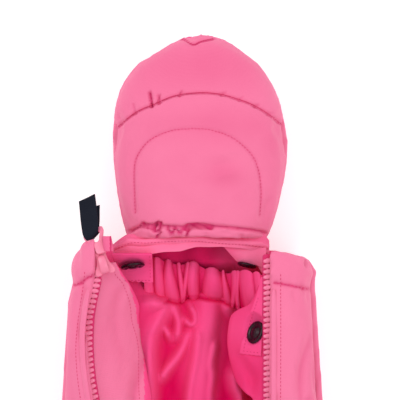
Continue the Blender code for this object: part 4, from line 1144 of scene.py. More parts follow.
UNDER_CHAIN = 2.4  # a flap starts this far below its chain's middle
FLAP_REACH = 22.0  # a usual flap's width, at which it has dropped by all its steepness
Flap = namedtuple("Flap", "along wide stitch")
OUTER_FLAP = table(Flap, (-202, 7, 5), (-170, 14, 11), (-130, 20, 17), (-100, 27, 22), (-84, 31, 24.2),
                   (-71.7, 31, 26), (-59, 29.4, 27), (-50, 28, 26.3), (-40, 27.2, 23.3),
                   (-30.8, 25.6, 20.8), (-19.5, 18, 14.6), (-14, 13.5, 9.4), (-7, 9, 6.5))
INNER_FLAP = table(Flap, (-202, 7, 5), (-172, 10, 8), (-132, 14, 12), (-95, 9, 7.5), (-84, 7, 5.5),
                   (-79.3, 12, 10.5), (-72.8, 17, 15.5), (-61.6, 20.2, 18.7), (-50.4, 21.4, 19.9),
                   (-39.2, 20, 18.5), (-35, 17, 15.5), (-30, 8.5, 7), (-20, 4, 2.5))


def flap_place(word, rows, inward, steep):
    """A facing that starts under the chain and drops towards its free edge."""
    def place(s, t):
        along = rows[0].along + (rows[-1].along - rows[0].along) * t
        across, up = chain_at(word, along)
        reach = column(rows, "wide", along) * s
        wave = 0.9 * np.sin(along / 13.0 + 2.0 * s) * s + 0.5 * np.sin(along / 5.7 - 3.0 * s) * s ** 2
        roll = ramp(s, 0.9, 1.0) ** 2
        drop = UNDER_CHAIN + steep * (reach / FLAP_REACH) ** 1.15
        return across + inward * (reach + 0.4), along, up - drop + wave - roll
    return place


facing_outer = new_sheet("facing_cloth_outer", 44, 240, flap_place("outer", OUTER_FLAP, 1.0, 13.0), 1.4)
facing_inner = new_sheet("facing_cloth_inner", 40, 240, flap_place("inner", INNER_FLAP, -1.0, 24.0), 1.4)
stitch = np.array([(row.along, chain_at("outer", row.along)[0] + row.stitch) for row in OUTER_FLAP])
FLAP_STITCH = stitch[:, 0], stitch[:, 1]
FACING_OUTER_FOLDS = creases((-41, -20, -38, -60, 0.8, 3), (-47, -40, -43, -100, 0.7, 4),
                             (-34, -16, -41, -34, 0.8, 2.2), (-26, -62, -31, -100, 1.6, 3))
FACING_INNER_FOLDS = creases((30, -60, 37, -76, 2.2, 3), (27, -50, 36, -66, -1.2, 2.4),
                             (38, -62, 35, -90, 1.6, 2.4))
press_creases(facing_outer, LEFT_LEG, FACING_OUTER_FOLDS, sheet=True)
press_creases(facing_inner, LEFT_LEG, FACING_INNER_FOLDS, sheet=True)
# The inner facing lies in the shade of its chain: painted shade, heavier and lighter in slow waves along
# it.
paint_shade_at(facing_inner, LEFT_LEG, lambda across, along, up: 0.30 - 0.2 * np.sin(along / 9.0))

OUTER_SNAP, INNER_SNAP = (-32.3, -7.4), (37.8, -46.6)  # where each tab puckers round its snap
TabRow = namedtuple("TabRow", "along left right up")
OUTER_TAB = table(TabRow, (-18.6, -37.8, -20.8, 31.4), (-15, -38.6, -20.9, 31.6), (-10, -40.6, -21, 33),
                  (-7.2, -42, -21.1, 36), (-4.6, -43.2, -21.2, 40.4), (-2.2, -43.8, -21.3, 42.8))


def tab_place(s, t):
    """A flat tab with a little pucker round its snap and a waved lower edge."""
    along = -18.6 + 16.4 * t + 1.0 * (1 - s) * (1 - t) + 0.28 * np.sin(s * 34.0) * (1 - t) ** 6
    left, right = column(OUTER_TAB, "left", along), column(OUTER_TAB, "right", along)
    across = left + (right - left) * s
    away = np.hypot(across - OUTER_SNAP[0], (along - OUTER_SNAP[1]) * 1.6)
    pucker = -0.9 * bell(away, 5.0) + 0.5 * np.sin(away * 1.1) * np.exp(-away / 6.0)
    return across, along, column(OUTER_TAB, "up", along) + 1.8 * (1 - s) ** 2 * t + pucker


INNER_TAB = table(TabRow, (-58.4, 28.2, 40, -1.2), (-54, 28.9, 40.3, -1), (-42.9, 31.5, 40.6, -0.2),
                  (-33.6, 34.7, 40.8, 0.4), (-25.2, 37.6, 41, 0.8), (-15, 40.2, 41.4, 1))


def inner_tab_place(s, t):
    """The other tab hangs from the chain, over the inner facing."""
    along = -58.2 + 43.2 * t - 0.9 * s * (1 - t) + 0.2 * np.sin(s * 30.0) * (1 - t) ** 6
    left, right = column(INNER_TAB, "left", along), column(INNER_TAB, "right", along)
    across = left + (right - left) * s
    chain, up = chain_at("inner", along)
    drop = UNDER_CHAIN + FLAP_REACH * ((chain - across) / FLAP_REACH) ** 1.1
    away = np.hypot(across - INNER_SNAP[0], along - INNER_SNAP[1])
    return across, along, up - drop + 1.9 - 0.9 * bell(away, 5.0) + 0.25 * np.sin(along / 3.0)


tab_outer = new_sheet("tab_outer", 70, 60, tab_place, 1.4)
tab_inner = new_sheet("tab_inner", 40, 90, inner_tab_place, 1.3)
print("facings and tabs are shaped")

# %% [markdown]
# The lining is longer than the shell, so below the gaiter's seam its fullness
# stands up in soft folds: a tall one in the middle, and two V-shaped ones where
# the cloth doubles back. Ridges and valleys are drawn on the plan. Each has a
# height and a width, and a fine sheet over the lining takes its form from them.

# %% Loose folds under the gaiter
Fold = namedtuple("Fold", "high width path")
RIDGES = table(Fold, (6, 4.4, [(-27, -29), (-18.5, -30), (-14, -31), (-12.6, -33.6), (-14.2, -37.4),
                               (-17.2, -42), (-20.6, -48.5), (-22, -60), (-22, -90), (-24, -130)]),
               (6, 2.7, [(-17.4, -39.8), (-14.6, -44.2), (-11.9, -49), (-9.4, -53.6)]),
               (6.5, 3.1, [(-9.4, -53.6), (-7.2, -48.6), (-6.6, -41), (-8.8, -33), (-8.4, -27)]),
               (6.5, 2.5, [(-6, -36.4), (-2.6, -40.2), (0.8, -42.6), (2.8, -40.4), (2.4, -36),
                           (0.6, -32.4), (-1.6, -28.4)]),
               (6, 3.3, [(1.6, -43.6), (-1.6, -49.4), (-3.4, -54.4), (-6.4, -59.8), (-10, -64.6),
                         (-14.4, -70.2), (-18.2, -77)]),
               (7, 3.6, [(3.2, -42.2), (4.4, -48.8), (4, -55.6), (2.8, -64), (1, -74), (-3, -100)]),
               (8, 8.6, [(10, -24), (10, -32), (9.4, -41), (7.6, -50), (6.6, -59), (5.6, -70), (4.6, -96),
                         (3, -132)]),
               (6, 3, [(14.6, -49), (13, -58), (11.8, -65), (12.4, -72), (11.2, -86), (13, -116)]),
               (5, 4.2, [(16.5, -26), (20.6, -31.6), (24.5, -38.6)]),
               (6, 4, [(24, -66), (25.4, -77), (28.8, -86), (31, -112)]),
               (4, 5, [(-9, -86), (-12, -110), (-11, -134)]))
BANK = [(-136, -19), (-78, -19.6), (-59, -20.2), (-49, -20.4), (-40, -15.8), (-35, -13.4), (-30.5, -13),
        (-26, -18.5), (-20, -22.5), (-12, -27)]  # along and across, where the bank beside the facing ends
LOOSE_FROM, LOOSE_TO = (-52.0, -138.0), (37.0, -14.0)
LOOSE_TOP = 32.0  # the folds stay just under this, below the gaiter
BARE_LEVEL = 12.0  # where a fold starts if no lining lies under it
DOWN = Vector((0.0, 0.0, -1.0))


def folded(flat):
    """Folds that melt into each other: how high each place is, and how near a crest."""
    height, crest = np.zeros(len(flat)), np.zeros(len(flat))
    for fold in RIDGES:
        path = curve_through(fold.path, 40)
        distance, run, _ = near_path(flat, path)
        fade = np.clip(np.minimum(run, run_of(path)[-1] - run) / 7.0 + 0.15, 0.0, 1.0)
        shape = bell(distance, fold.width) * fade
        height, crest = height + (fold.high * shape) ** 3, crest + shape ** 3
    return np.cbrt(height), np.clip(np.cbrt(crest), 0.0, 1.0)


def bank_at(across, along):
    """The lining piles up beside the facing; from 0 out in the leg to 1 under the facing."""
    edge = np.interp(along, *np.array(BANK).T)
    return 1.0 / (1.0 + np.exp((across - edge) / 1.6)), ramp(across, edge, edge - 15.0)


def seam_groove(across, along):
    """The line where the gaiter is sewn on, where both cloths are drawn down."""
    away = along - column(GAITER_EDGES, "seam", np.clip(across, *GAITER_ENDS)) + 0.6
    return bell(away, 1.3) * ramp(across, -15.5, -12.5) * ramp(across, 27.0, 23.0)


def loose_place(s, t):
    """Fine folds laid over the lining, sunk back into it at three edges."""
    (left, rear), (right, front) = LOOSE_FROM, LOOSE_TO
    across, along = left + (right - left) * s, rear + (front - rear) * t
    under = cloth_under(lining)
    starts = np.stack([across, np.minimum(along, -26.0), np.full_like(s, LOOSE_TOP)], axis=1)
    falls = [under.ray_cast(Vector(start), DOWN)[0] for start in off_ruler(starts, LEFT_LEG)]
    base = np.array([fall.z / MM if fall else BARE_LEVEL for fall in falls])
    ridge, _ = folded(np.stack([across, along], axis=1))
    step, slope = bank_at(across, along)
    fine = 0.3 * np.sin(across / 2.7 + along / 8.0) + 0.2 * np.sin(across / 1.3 - along / 11.0)
    rim = np.minimum(ramp(across, right, right - 8.0), ramp(along, rear, rear + 10.0))
    pile = 8.0 * step + 9.0 * slope ** 1.2 - 3.0 * seam_groove(across, along)
    up = base + (2.6 + ridge * (1.0 - 0.5 * slope) + pile + fine) * rim - 0.8 * (1 - rim)
    return across, along, np.minimum(up, LOOSE_TOP - 0.5)


# Painted shade for the loose folds: dark in the valleys, light on the crests, darker further from the hem
# and along the gaiter's seam; the bank beside the facing takes a lighter share.
def loose_shade(across, along, up):
    _, crest = folded(np.stack([across, along], axis=1))
    step, slope = bank_at(across, along)
    low = 0.98 - 1.0 * crest ** 0.95 + 0.2 * ramp(along, -66.0, -96.0)
    shade = low * (1.0 - step) + step * (0.42 - 0.6 * crest + 0.2 * slope)
    return np.maximum(shade, 0.95 * seam_groove(across, along))


loose = new_sheet("lining_folds", 190, 220, loose_place, 0.8)
paint_shade_at(loose, LEFT_LEG, loose_shade)
print("loose lining:", len(RIDGES), "folds")

# %% [markdown]
# ## Fleece at the foot cover's mouth
# Brushed fleece lines the mouth and is turned out over its edge. It is a thick
# soft band with a rolled ridge along it and a stitched lower edge. A smaller
# tongue of fleece under it carries a snap, half hidden in the dark of the leg.

# %% The fleece band and its tongue
Band = namedtuple("Band", "across upper ridge free up")
FLEECE_BAND = table(Band, (-43, 2.6, 1, -3.2, 31.5), (-38, 6, 3.4, -3.4, 34.5), (-34, 8.2, 5.2, -3.2, 36),
                    (-28, 8, 5, -2.9, 37), (-21.3, 8, 5.4, -2.2, 37.6), (-7.3, 8.6, 6.2, -0.6, 38),
                    (-2, 9.6, 6.3, 0.6, 38), (2, 12.4, 6.2, 1.4, 38), (5.6, 13.4, 6, 1.7, 38),
                    (18.5, 12.8, 4.8, 2, 37.6), (30, 11.8, 4, 0.8, 36.4), (40, 9.4, 3.2, -0.8, 33.4),
                    (44, 5, 1.2, -2.4, 30.5))


def fleece_place(s, t):
    across = FLEECE_BAND[0].across + (FLEECE_BAND[-1].across - FLEECE_BAND[0].across) * s
    upper, ridge, free, up = (column(FLEECE_BAND, name, across) for name in Band._fields[1:])
    along = np.where(t < 0.5, upper + (ridge - upper) * t * 2, ridge + (free - ridge) * (t * 2 - 1))
    roll = 1.5 * bell(t - 0.52, 0.10) - 0.9 * bell(t - 0.66, 0.035)
    sag = -3.0 * np.clip(t - 0.75, 0, 1) ** 1.2 - 2.4 * np.clip(0.45 - t, 0, 1)
    uneven = 0.35 * np.sin(across / 5.1 + 3.0 * t) + 0.25 * np.sin(across / 2.3 - 4.0 * t)
    return across, along + 0.25 * np.sin(across / 3.4), up + roll + sag + uneven


TONGUE_CORNERS = [Vector((18.0, 2.6, 35.2)), Vector((43.0, 1.0, 34.0)), Vector((27.2, -6.6, 31.0)),
                  Vector((42.5, -13.6, 32.5))]


def tongue_place(s, t):
    """Between two edges; the outer corner hangs lowest."""
    a, b, c, d = (np.array(corner)[:, None] for corner in TONGUE_CORNERS)
    places = (a + (b - a) * s) * (1 - t) + (c + (d - c) * s) * t
    places[2] += 0.8 * np.sin(s * 5.0) * t + 1.2 * np.sin(np.pi * t)
    return places


fleece = new_sheet("fleece_rolled_band", 190, 36, fleece_place, 2.2)
# Below its rolled ridge the fleece turns from the light: painted shade.
paint_shade_at(fleece, LEFT_LEG,
     lambda across, along, up: 0.25 * (along > column(FLEECE_BAND, "ridge", across) + 1.0))
tongue = new_sheet("fleece_tongue", 60, 40, tongue_place, 1.5)
# The tongue lies under the fleece band, in its shade: painted shade, heaviest at the end nearer the leg's
# middle.
paint_shade_at(tongue, LEFT_LEG, lambda across, along, up: 0.30 - (across - 24.0) / 24.0)
print("fleece band:", len(fleece.data.polygons), "faces")

# %% [markdown]
# ## Zip tapes, piping and teeth
# Each side of the zip is a woven tape with moulded plastic teeth along its
# edge. The tapes and the piped edge of the panels are finer copies of their
# solids. One tooth is modelled, two soft lobes joined by a broad foot, and
# is set along the chain's own middle line three millimetres apart.

# %% One tooth, and both chains
TOOTH = Vector((5.0, 2.6, 2.5))  # across the chain, along it, and high
TOOTH_PITCH = 3.0


def tooth_model():
    """A ball drawn out across the chain: two lobes, and one broad foot between them."""
    tooth = primitive(bpy.ops.mesh.primitive_uv_sphere_add, segments=8, ring_count=6, radius=0.5)
    places = points_of(tooth)[:, [2, 0, 1]]
    share = np.clip(np.abs(places[:, 0]) * 2, 0.0, 1.0)
    round_now = np.sqrt(np.maximum(1.0 - share ** 2, 1e-6))
    ends = np.sqrt(np.maximum(1.0 - share ** 6, 0.0)) / round_now
    middle = bell(share, 0.34)
    places[:, 1] *= ends * (0.80 + 0.48 * middle)
    places[:, 2] *= ends * (1.0 - 0.30 * middle)
    places[:, 1] += 0.07 * np.sign(places[:, 0]) * np.clip(share * 2.0, 0.0, 1.0)
    turn = np.arctan2(places[:, 2], places[:, 1])
    square = 1.0 / np.maximum(np.abs(np.cos(turn)), np.abs(np.sin(turn))) ** 0.62
    places[:, 1:] *= square[:, None]
    put_points(tooth, places * np.array(TOOTH) * MM)
    return smooth_shaded(tooth)


chains = {}
TOP_TEETH = {"outer": 0.0, "inner": 8.0}  # mm that the teeth run on past the solid, at the hem
for word in ZIP_SIDES:
    line = centre_line("zip_chain_" + word)
    ahead = (line[0] - line[12]) / np.linalg.norm(line[0] - line[12])
    line = np.vstack([line[0] + ahead * TOP_TEETH[word] * MM, line])
    places, forwards = evenly(line, TOOTH_PITCH * MM)
    chains[word] = strew("teeth_" + word, tooth_model(), places, forwards)
    print(word, "chain:", len(places), "teeth")

# %% Tapes and piping
tapes = {word: thin_copy("zip_tape_" + word, 1) for word in ZIP_SIDES}
for tape in tapes.values():
    lift(tape, 1.3)
    # The tapes lie in the shade of the chains and the piping: painted shade all over.
    paint_shade_at(tape, BODY, lambda across, along, up: np.full_like(up, 0.75))
FATTER = (0.55, 0.0, 0.7)  # a piping is this much wider and higher than its solid
pipings = {word: thin_copy("zip_guard_" + word, 2) for word in ZIP_SIDES}
for word, piping in pipings.items():
    line, places = centre_line("zip_guard_" + word), points_of(piping)
    order = np.clip(np.searchsorted(-line[:, 1], -places[:, 1]), 0, len(line) - 1)
    put_points(piping, places + (places - line[order]) * np.array(FATTER))
print("tapes and piping:", len(tapes), "and", len(pipings))

# %% [markdown]
# ## Slider, pull and webbing
# The slider is a lacquered casting: two waisted plates held apart by a post,
# with a raised bridge on top. The pull is a letter A that hinges on it, and a
# short loop of webbing goes through the A. The plates are flat outlines that
# are extruded and bevelled, which gives them the soft edges of a casting.

# %% Cast plates
def rounded(piece, bevel, sharp_degrees):
    """Round the edges that are sharper than an angle."""
    applied(piece, "BEVEL", width=bevel * MM, segments=3, limit_method="ANGLE",
            angle_limit=math.radians(sharp_degrees))
    return smooth_shaded(piece, 40.0)


def cast(name, outline, low, high, bevel, count=48):
    """A plate with a smooth outline, extruded from low to high, its edges rounded."""
    ring = curve_through(list(outline) + [outline[0]], count + 1)[:-1]
    plate = primitive(bpy.ops.mesh.primitive_circle_add, vertices=count, radius=1.0, fill_type="NGON")
    plate.name = name
    put_points(plate, np.column_stack([ring, np.full(count, low)]) * MM)
    lift_by = {"value": (0.0, 0.0, (high - low) * MM)}
    edit(plate, lambda: bpy.ops.mesh.extrude_region_move(TRANSFORM_OT_translate=lift_by),
         all_selected, faces_out)
    return rounded(plate, bevel, 50.0)


def seated(piece, matrix):
    """Move a piece's mesh, so that the object itself stays at the origin."""
    piece.data.transform(matrix)
    piece.data.update()
    return piece


# %% The slider
SLIDER_TURN = math.radians(16.0)
TOP_PLATE = [(0, 7.6), (-2.3, 6.9), (-3, 4.4), (-3.1, 1.6), (-4, -1.6), (-5.5, -4.2), (-5.6, -6.4),
             (-3.9, -7.3), (-1.6, -6.4), (0, -5), (1.6, -6.4), (3.9, -7.3), (5.6, -6.4), (5.5, -4.2),
             (4, -1.6), (3.1, 1.6), (3, 4.4), (2.3, 6.9)]
POST = [(0, 6.6), (-1.5, 5.6), (-1.2, 2.6), (0, 0.4), (1.2, 2.6), (1.5, 5.6)]
RAIL = [(4.7, -6.3), (5.6, -6), (5.5, -4.2), (4.1, -1.5), (3.3, -1.6), (4.4, -4.2)]


def bridge_place(s, t):
    """A tongue that springs from the wide end and comes down at the waist."""
    width = 4.3 - 1.0 * t
    rise = 2.1 * np.sin(np.pi * np.clip(t * 1.02, 0.0, 1.0)) ** 0.55
    return (s - 0.5) * width, -5.8 + 9.4 * t, 2.5 + rise - 0.35 * (2 * s - 1) ** 2


low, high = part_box("slider")
slider_middle = [(first + last) / 2 for first, last in zip(low, high)]
slider = joined(
    "slider_casting",
    cast("bottom_plate", [(x * 0.94, y * 0.94) for x, y in TOP_PLATE], -2.5, -1.2, 0.35),
    cast("post", POST, -1.3, 1.3, 0.1, 24),
    cast("rail_right", RAIL, 0.2, 1.3, 0.15, 24),
    cast("rail_left", mirrored(reversed(RAIL)), 0.2, 1.3, 0.15, 24),
    new_sheet("bridge", 10, 30, bridge_place, 1.3, BODY, 50.0),
    cast("top_plate", TOP_PLATE, 1.2, 2.5, 0.4))
seated(slider, Matrix.Translation(slider_middle) @ Matrix.Rotation(SPLAY + SLIDER_TURN, 4, "Z"))
print("slider:", len(slider.data.polygons), "faces")

# %% The pull and its webbing
PULL_HINGE = Vector((-177.89, 370.19, 58.1)) * MM
PULL_TURN, PULL_PITCH = math.radians(27.0), math.radians(-20.0)
PULL_FRAME = (Matrix.Translation(PULL_HINGE) @ Matrix.Rotation(PULL_TURN, 4, "Z")
              @ Matrix.Rotation(PULL_PITCH, 4, "X"))
PULL_RIM = [(0, -0.7), (-2.3, -0.5), (-2.9, 1.2), (-2.6, 3.6), (-2.9, 5.6), (-4.4, 8.6), (-6, 11.6),
            (-5.4, 13.4), (-2.8, 13.5), (0, 13.6), (2.8, 13.5), (5.4, 13.4), (6, 11.6), (4.4, 8.6),
            (2.9, 5.6), (2.6, 3.6), (2.9, 1.2), (2.3, -0.5)]
PULL_EYE = [(0, 6.3), (-1.2, 7), (-2.2, 8.8), (-3.4, 10.8), (-2.7, 11.5), (0, 11.6), (2.7, 11.5),
            (3.4, 10.8), (2.2, 8.8), (1.2, 7)]


def leaning(outline):
    """The pull hangs askew: its far end slides left, and its left ear is lower."""
    return [(x - 0.11 * y, y + 0.018 * x * y) for x, y in outline]


pull = cast("pull_casting", leaning(PULL_RIM), -1.05, 1.05, 0.1, 56)
hole = cast("pull_hole", leaning(PULL_EYE), -4.0, 4.0, 0.05, 40)
applied(pull, "BOOLEAN", operation="DIFFERENCE", object=hole, solver="EXACT")
bpy.data.objects.remove(hole, do_unlink=True)
seated(rounded(pull, 0.45, 60.0), PULL_FRAME)

WEB_PATH = [(27.8, -1.5), (24, -1.7), (19, -2.2), (14.5, -2.5), (11.6, -2.2), (10.2, 0), (11.6, 2.2),
            (14.5, 2.5), (20, 2.3), (27, 1.7), (33, 1.4)]
WEB_POINTS = 200


def web_place(s, t):
    """Two layers that meet in a fold through the pull, narrowed where it passes."""
    path = curve_through(WEB_PATH, WEB_POINTS)
    y, z = along_line(t * (WEB_POINTS - 1), np.arange(WEB_POINTS), path).T
    width = np.interp(y, [10.2, 11.6, 13.0, 15.0, 40.0], [6.8, 8.8, 9.8, 10.0, 9.8])
    middle = np.interp(y, [9.8, 14.0, 34.0], [-2.4, -2.2, 1.4])
    side = 2 * s - 1
    slant = np.where(t < 0.5, -0.10, 0.18) * side * width / 2 * ramp(y, 24.0, 36.0)
    foot = (0.30 * side * width / 2 - 1.1 * (1 - np.abs(side + 0.2))) * ramp(y, 19.0, 12.0)
    curl = 0.35 * side ** 2 * ramp(y, 16.0, 32.0)
    behind = np.where(t < 0.5, 1.6, 0.0) * ramp(y, 16.0, 28.0)
    return middle + side * width / 2 + behind, y + slant + foot, z + curl


webbing = seated(new_sheet("webbing_loop", 24, 150, web_place, 0.9, BODY, 50.0), PULL_FRAME)
print("pull and webbing:", len(pull.data.polygons), len(webbing.data.polygons), "faces")

# %% [markdown]
# The end of the outer tape is rolled up beside the slider and sewn down. It
# is a short spiral of tape.

# %% The rolled end of the tape
def roll_place(s, t):
    turn = 1.15 + s * 2.6 * math.pi
    radius = 3.0 - 1.5 * s + 0.15 * np.sin(t * 5.0)
    lean = 0.16 * (t - 0.5) * 8.0
    return -45.6 + radius * np.cos(turn) - lean, -0.6 + 8.4 * t, 58.0 + radius * 0.85 * np.sin(turn)


tape_end = new_sheet("tape_end", 70, 24, roll_place, 0.7)
roll_across = on_ruler(points_of(tape_end), LEFT_LEG)[:, 0]
# A narrow band down the roll's right side takes painted shade.
paint_shade(tape_end, (roll_across > -44.7) & (roll_across < -43.9), 0.8)
print("rolled tape end:", len(tape_end.data.polygons), "faces")

# %% [markdown]
# ## Snaps
# A snap is a turned disc with a rolled rim, a hollow and a small dome. A
# profile is drawn from the middle outwards and spun round its axis.

# %% A turned snap, set on each tab
SNAP_PROFILE = [(0, 2.1), (1.3, 2), (2.6, 1.6), (3.3, 1), (3.9, 0.8), (4.5, 1), (5.1, 1.4), (5.9, 1.4),
                (6.5, 1.1), (6.75, 0.6), (6.5, 0.1), (5.8, -0.3)]


def snap_model():
    """Spin the profile round the upright axis."""
    disc = primitive(bpy.ops.mesh.primitive_plane_add, size=MM)
    edit(disc, lambda: bpy.ops.mesh.delete(type="VERT"))
    curve = curve_through(SNAP_PROFILE, 26)
    count = len(curve)
    disc.data.vertices.add(count)
    disc.data.edges.add(count - 1)
    put_points(disc, np.column_stack([curve[:, 0], np.zeros(count), curve[:, 1]]) * MM)
    ends = np.column_stack([np.arange(count - 1), np.arange(1, count)])
    disc.data.edges.foreach_set("vertices", ends.ravel())
    disc.data.update()
    edit(disc,
         lambda: bpy.ops.mesh.spin(steps=48, angle=2 * math.pi, center=(0, 0, 0), axis=(0, 0, 1)),
         all_selected,
         lambda: bpy.ops.mesh.remove_doubles(threshold=0.01 * MM),
         faces_out)
    return smooth_shaded(disc, 60.0)


Seat = namedtuple("Seat", "across along up size faces")
SEATS = {"outer": Seat(-32.3, -8.7, 36.8, 1.0, (0.14, -0.97, 0.20)),
         "inner": Seat(36.9, -46.2, 52.6, 0.98, (-0.74, 0.32, 0.59)),
         "fleece": Seat(32.2, -8.4, 31.6, 0.82, (-0.22, -0.95, 0.16))}
SEATED_ON = {"outer": [], "inner": [tab_inner, facing_inner], "fleece": [tongue]}
SNAP_RADIUS = 7.2 * MM
SNAP_FOOT = 0.35 * MM  # cloth under a snap is pressed this far below its middle
SNAP_REACH = 9.0 * MM  # cloth further above or below stays as it is


def press_flat(piece, middle, faces, radius):
    """Cloth above a snap's foot is pressed down to it, and eases out round its rim."""
    places = points_of(piece)
    height = (places - middle) @ faces
    away = np.linalg.norm(places - middle - height[:, None] * faces, axis=1)
    near = (np.abs(height) < SNAP_REACH) * ramp(away, 1.5 * radius, radius)
    places -= faces * (np.maximum(height + SNAP_FOOT, 0.0) * near)[:, None]
    put_points(piece, places)


snaps = {}
for word, seat in SEATS.items():
    place = leg(seat.across, seat.along, seat.up)
    faces = np.array(off_ruler(np.array([seat.faces]), Ruler(0, 0, SPLAY))[0])
    faces /= np.linalg.norm(faces)
    model = snap_model()
    put_points(model, points_of(model) * seat.size)
    side = np.cross([1.0, 0.0, 0.0], faces)
    for sheet in SEATED_ON[word]:
        press_flat(sheet, np.array(place), faces, SNAP_RADIUS * seat.size)
    snaps[word] = strew("snap_cap_" + word, model, [place], [side], [faces])
print("snaps:", len(snaps))

# %% [markdown]
# ## Stitches
# Every seam on such a suit is topstitched. A stitch is a short bead of thread
# that dips into the cloth at both ends. One is modelled and laid along each
# line by dropping it onto the piece below. Each bead takes a little painted
# shade. In the ditch of the toe seam the thread is nearly hidden, so there its
# beads are longer and closer, and darker with painted shade.

# %% Beads of thread along a line
STITCH_HEIGHT = 0.34
PROUD = 0.06 * MM  # a stitch's middle stands this far above the cloth
DROP_FROM = 200.0  # mm, above everything
STEEPEST = 0.2  # the least up part of a face's normal that takes a stitch
LINE_STEPS = 300  # how finely a line is drawn before its stitches are spaced out


def stitch_model(length, wide, sunk):
    """One bead of thread, round in plan and flat in height."""
    bead = primitive(bpy.ops.mesh.primitive_uv_sphere_add, segments=6, ring_count=4, radius=0.5)
    places = points_of(bead)[:, [0, 2, 1]]
    put_points(bead, places * np.array([wide, length, STITCH_HEIGHT]) * MM)
    edit(bead, faces_out)
    # The bead takes painted shade by the given amount.
    paint_shade(bead, np.ones(len(places), bool), sunk)
    return smooth_shaded(bead)


# The last column is the painted shade that each kind's beads take.
Thread = namedtuple("Thread", "pitch length wide sunk")
TOPSTITCH = Thread(2.05, 1.40, 0.42, 0.10)
FINE_STITCH = Thread(1.9, 1.25, 0.38, 0.15)
DITCH = Thread(1.30, 1.60, 0.36, 0.55)


def top_hit(targets, place):
    """Where a fall meets the uppermost target, and which way it faces there."""
    hits = [target.ray_cast(place, DOWN) for target in targets]
    hits = [(spot, normal if normal.z > 0.0 else -normal) for found, spot, normal, _ in hits
            if found and abs(normal.z) > STEEPEST]
    return max(hits, key=lambda hit: hit[0].z, default=None)


def lay_stitches(name, thread, targets, lines):
    """Drop stitches along the lines of each ruler, onto the uppermost target."""
    bpy.context.view_layer.update()
    places, runs, ups = [], [], []
    for ruler, points in ((ruler, points) for ruler in lines for points in lines[ruler]):
        flat = curve_through(points, LINE_STEPS)[:, :2]
        line = off_ruler(np.column_stack([flat, np.full(len(flat), DROP_FROM)]), ruler)
        for place, run in zip(*evenly(line, thread.pitch * MM)):
            hit = top_hit(targets, Vector(place))
            if hit:
                (spot, normal), run = hit, Vector(run)
                places.append(spot + normal * PROUD)
                runs.append(run - normal * run.dot(normal))
                ups.append(normal)
    model = stitch_model(thread.length, thread.wide, thread.sunk)
    print(name + ":", len(places), "stitches")
    return strew(name, model, places, runs, ups)


# %% Where the stitches run
def beside(line, offset):
    """A line moved sideways, to the right of its run from the hem to the neck."""
    steps = np.gradient(line, axis=0)
    side = np.stack([-steps[:, 1], steps[:, 0]], axis=1) / np.linalg.norm(steps[:, :2], axis=1)[:, None]
    return line[:, :2] + side * offset


def sparse(line, count=14):
    return line[np.linspace(0, len(line) - 1, count).astype(int)].tolist()


def pads_of(*names):
    return [pads[name] for name in names]


ZIP_STITCH = 7.2  # mm from the chain's middle
outer_zip, inner_zip = (centre_line("zip_chain_" + word) / MM for word in ZIP_SIDES)
FRONTS = pads_of("leg_left_outer", "leg_left_inner", "torso_front_left", "torso_front_right")
UPPERS = pads_of("foot_left_upper", "foot_right_upper")
FACE_OPENING = [(14.5, -292), (39.5, -315), (63.5, -370), (63.5, -425), (43.5, -470), (14, -495)]
CUFF_LINE = [(-41, -17), (0, -17.5), (41, -17)]
FACING_LINE = sparse(np.column_stack(FLAP_STITCH[::-1]) + np.array([0.6, 0.0]), 13)
across_edge = np.linspace(-40.0, 42.0, 12)
FLEECE_LINE = np.column_stack([across_edge, column(FLEECE_BAND, "ridge", across_edge) - 1.3]).tolist()
seams = [
    lay_stitches("stitches_zip", TOPSTITCH, FRONTS,
                 {BODY: [sparse(beside(outer_zip, -ZIP_STITCH)), sparse(beside(inner_zip, ZIP_STITCH))]}),
    lay_stitches("stitches_feet", FINE_STITCH, UPPERS,
                 {LEFT_LEG: [TONGUE_SEAM], RIGHT_LEG: [mirrored(TONGUE_SEAM)]}),
    lay_stitches("ditch_feet", DITCH, UPPERS,
                 {LEFT_LEG: [TOE_SEAM, TIP_SEAM], RIGHT_LEG: [mirrored(TOE_SEAM)]}),
    lay_stitches("stitches_hems", TOPSTITCH, FRONTS + pads_of("leg_right_front"),
                 {LEFT_LEG: [OUTER_BAND, INNER_BAND],
                  RIGHT_LEG: [[(-70, -22), (0, -20.5), (70, -22)]],
                  BODY: [[(-172, 116), (-110, 116.5), (-50, 116)],
                         [(-18, 116), (80, 116.5), (172, 116)]]}),
    lay_stitches("stitches_hood", TOPSTITCH, pads_of("hood_side_left", "hood_side_right"),
                 {BODY: [FACE_OPENING, mirrored(FACE_OPENING)]}),
    lay_stitches("stitches_cuffs", TOPSTITCH, pads_of("sleeve_left_upper", "sleeve_right_upper"),
                 {ruler: [CUFF_LINE] for ruler in SLEEVES.values()}),
    lay_stitches("stitches_facings", FINE_STITCH, [facing_outer, facing_inner, tab_outer, tab_inner],
                 {LEFT_LEG: [FACING_LINE,
                             [(-22.6, -4), (-22.5, -11), (-22.4, -17.2)],
                             [(-36.4, -17.4), (-30, -17.3), (-23, -17.4)],
                             [(30.2, -56.6), (34, -57), (39, -57.4)],
                             [(30.4, -54.6), (32.8, -44), (35.9, -34), (38.4, -26)]]}),
    lay_stitches("stitches_fleece", FINE_STITCH, [fleece], {LEFT_LEG: [FLEECE_LINE]}),
]

# %% [markdown]
# ## Finishing
# Every pad is laid flat on the surface where it rests. Then each piece gets its
# material, its place on the body, and the solids whose look it takes over.

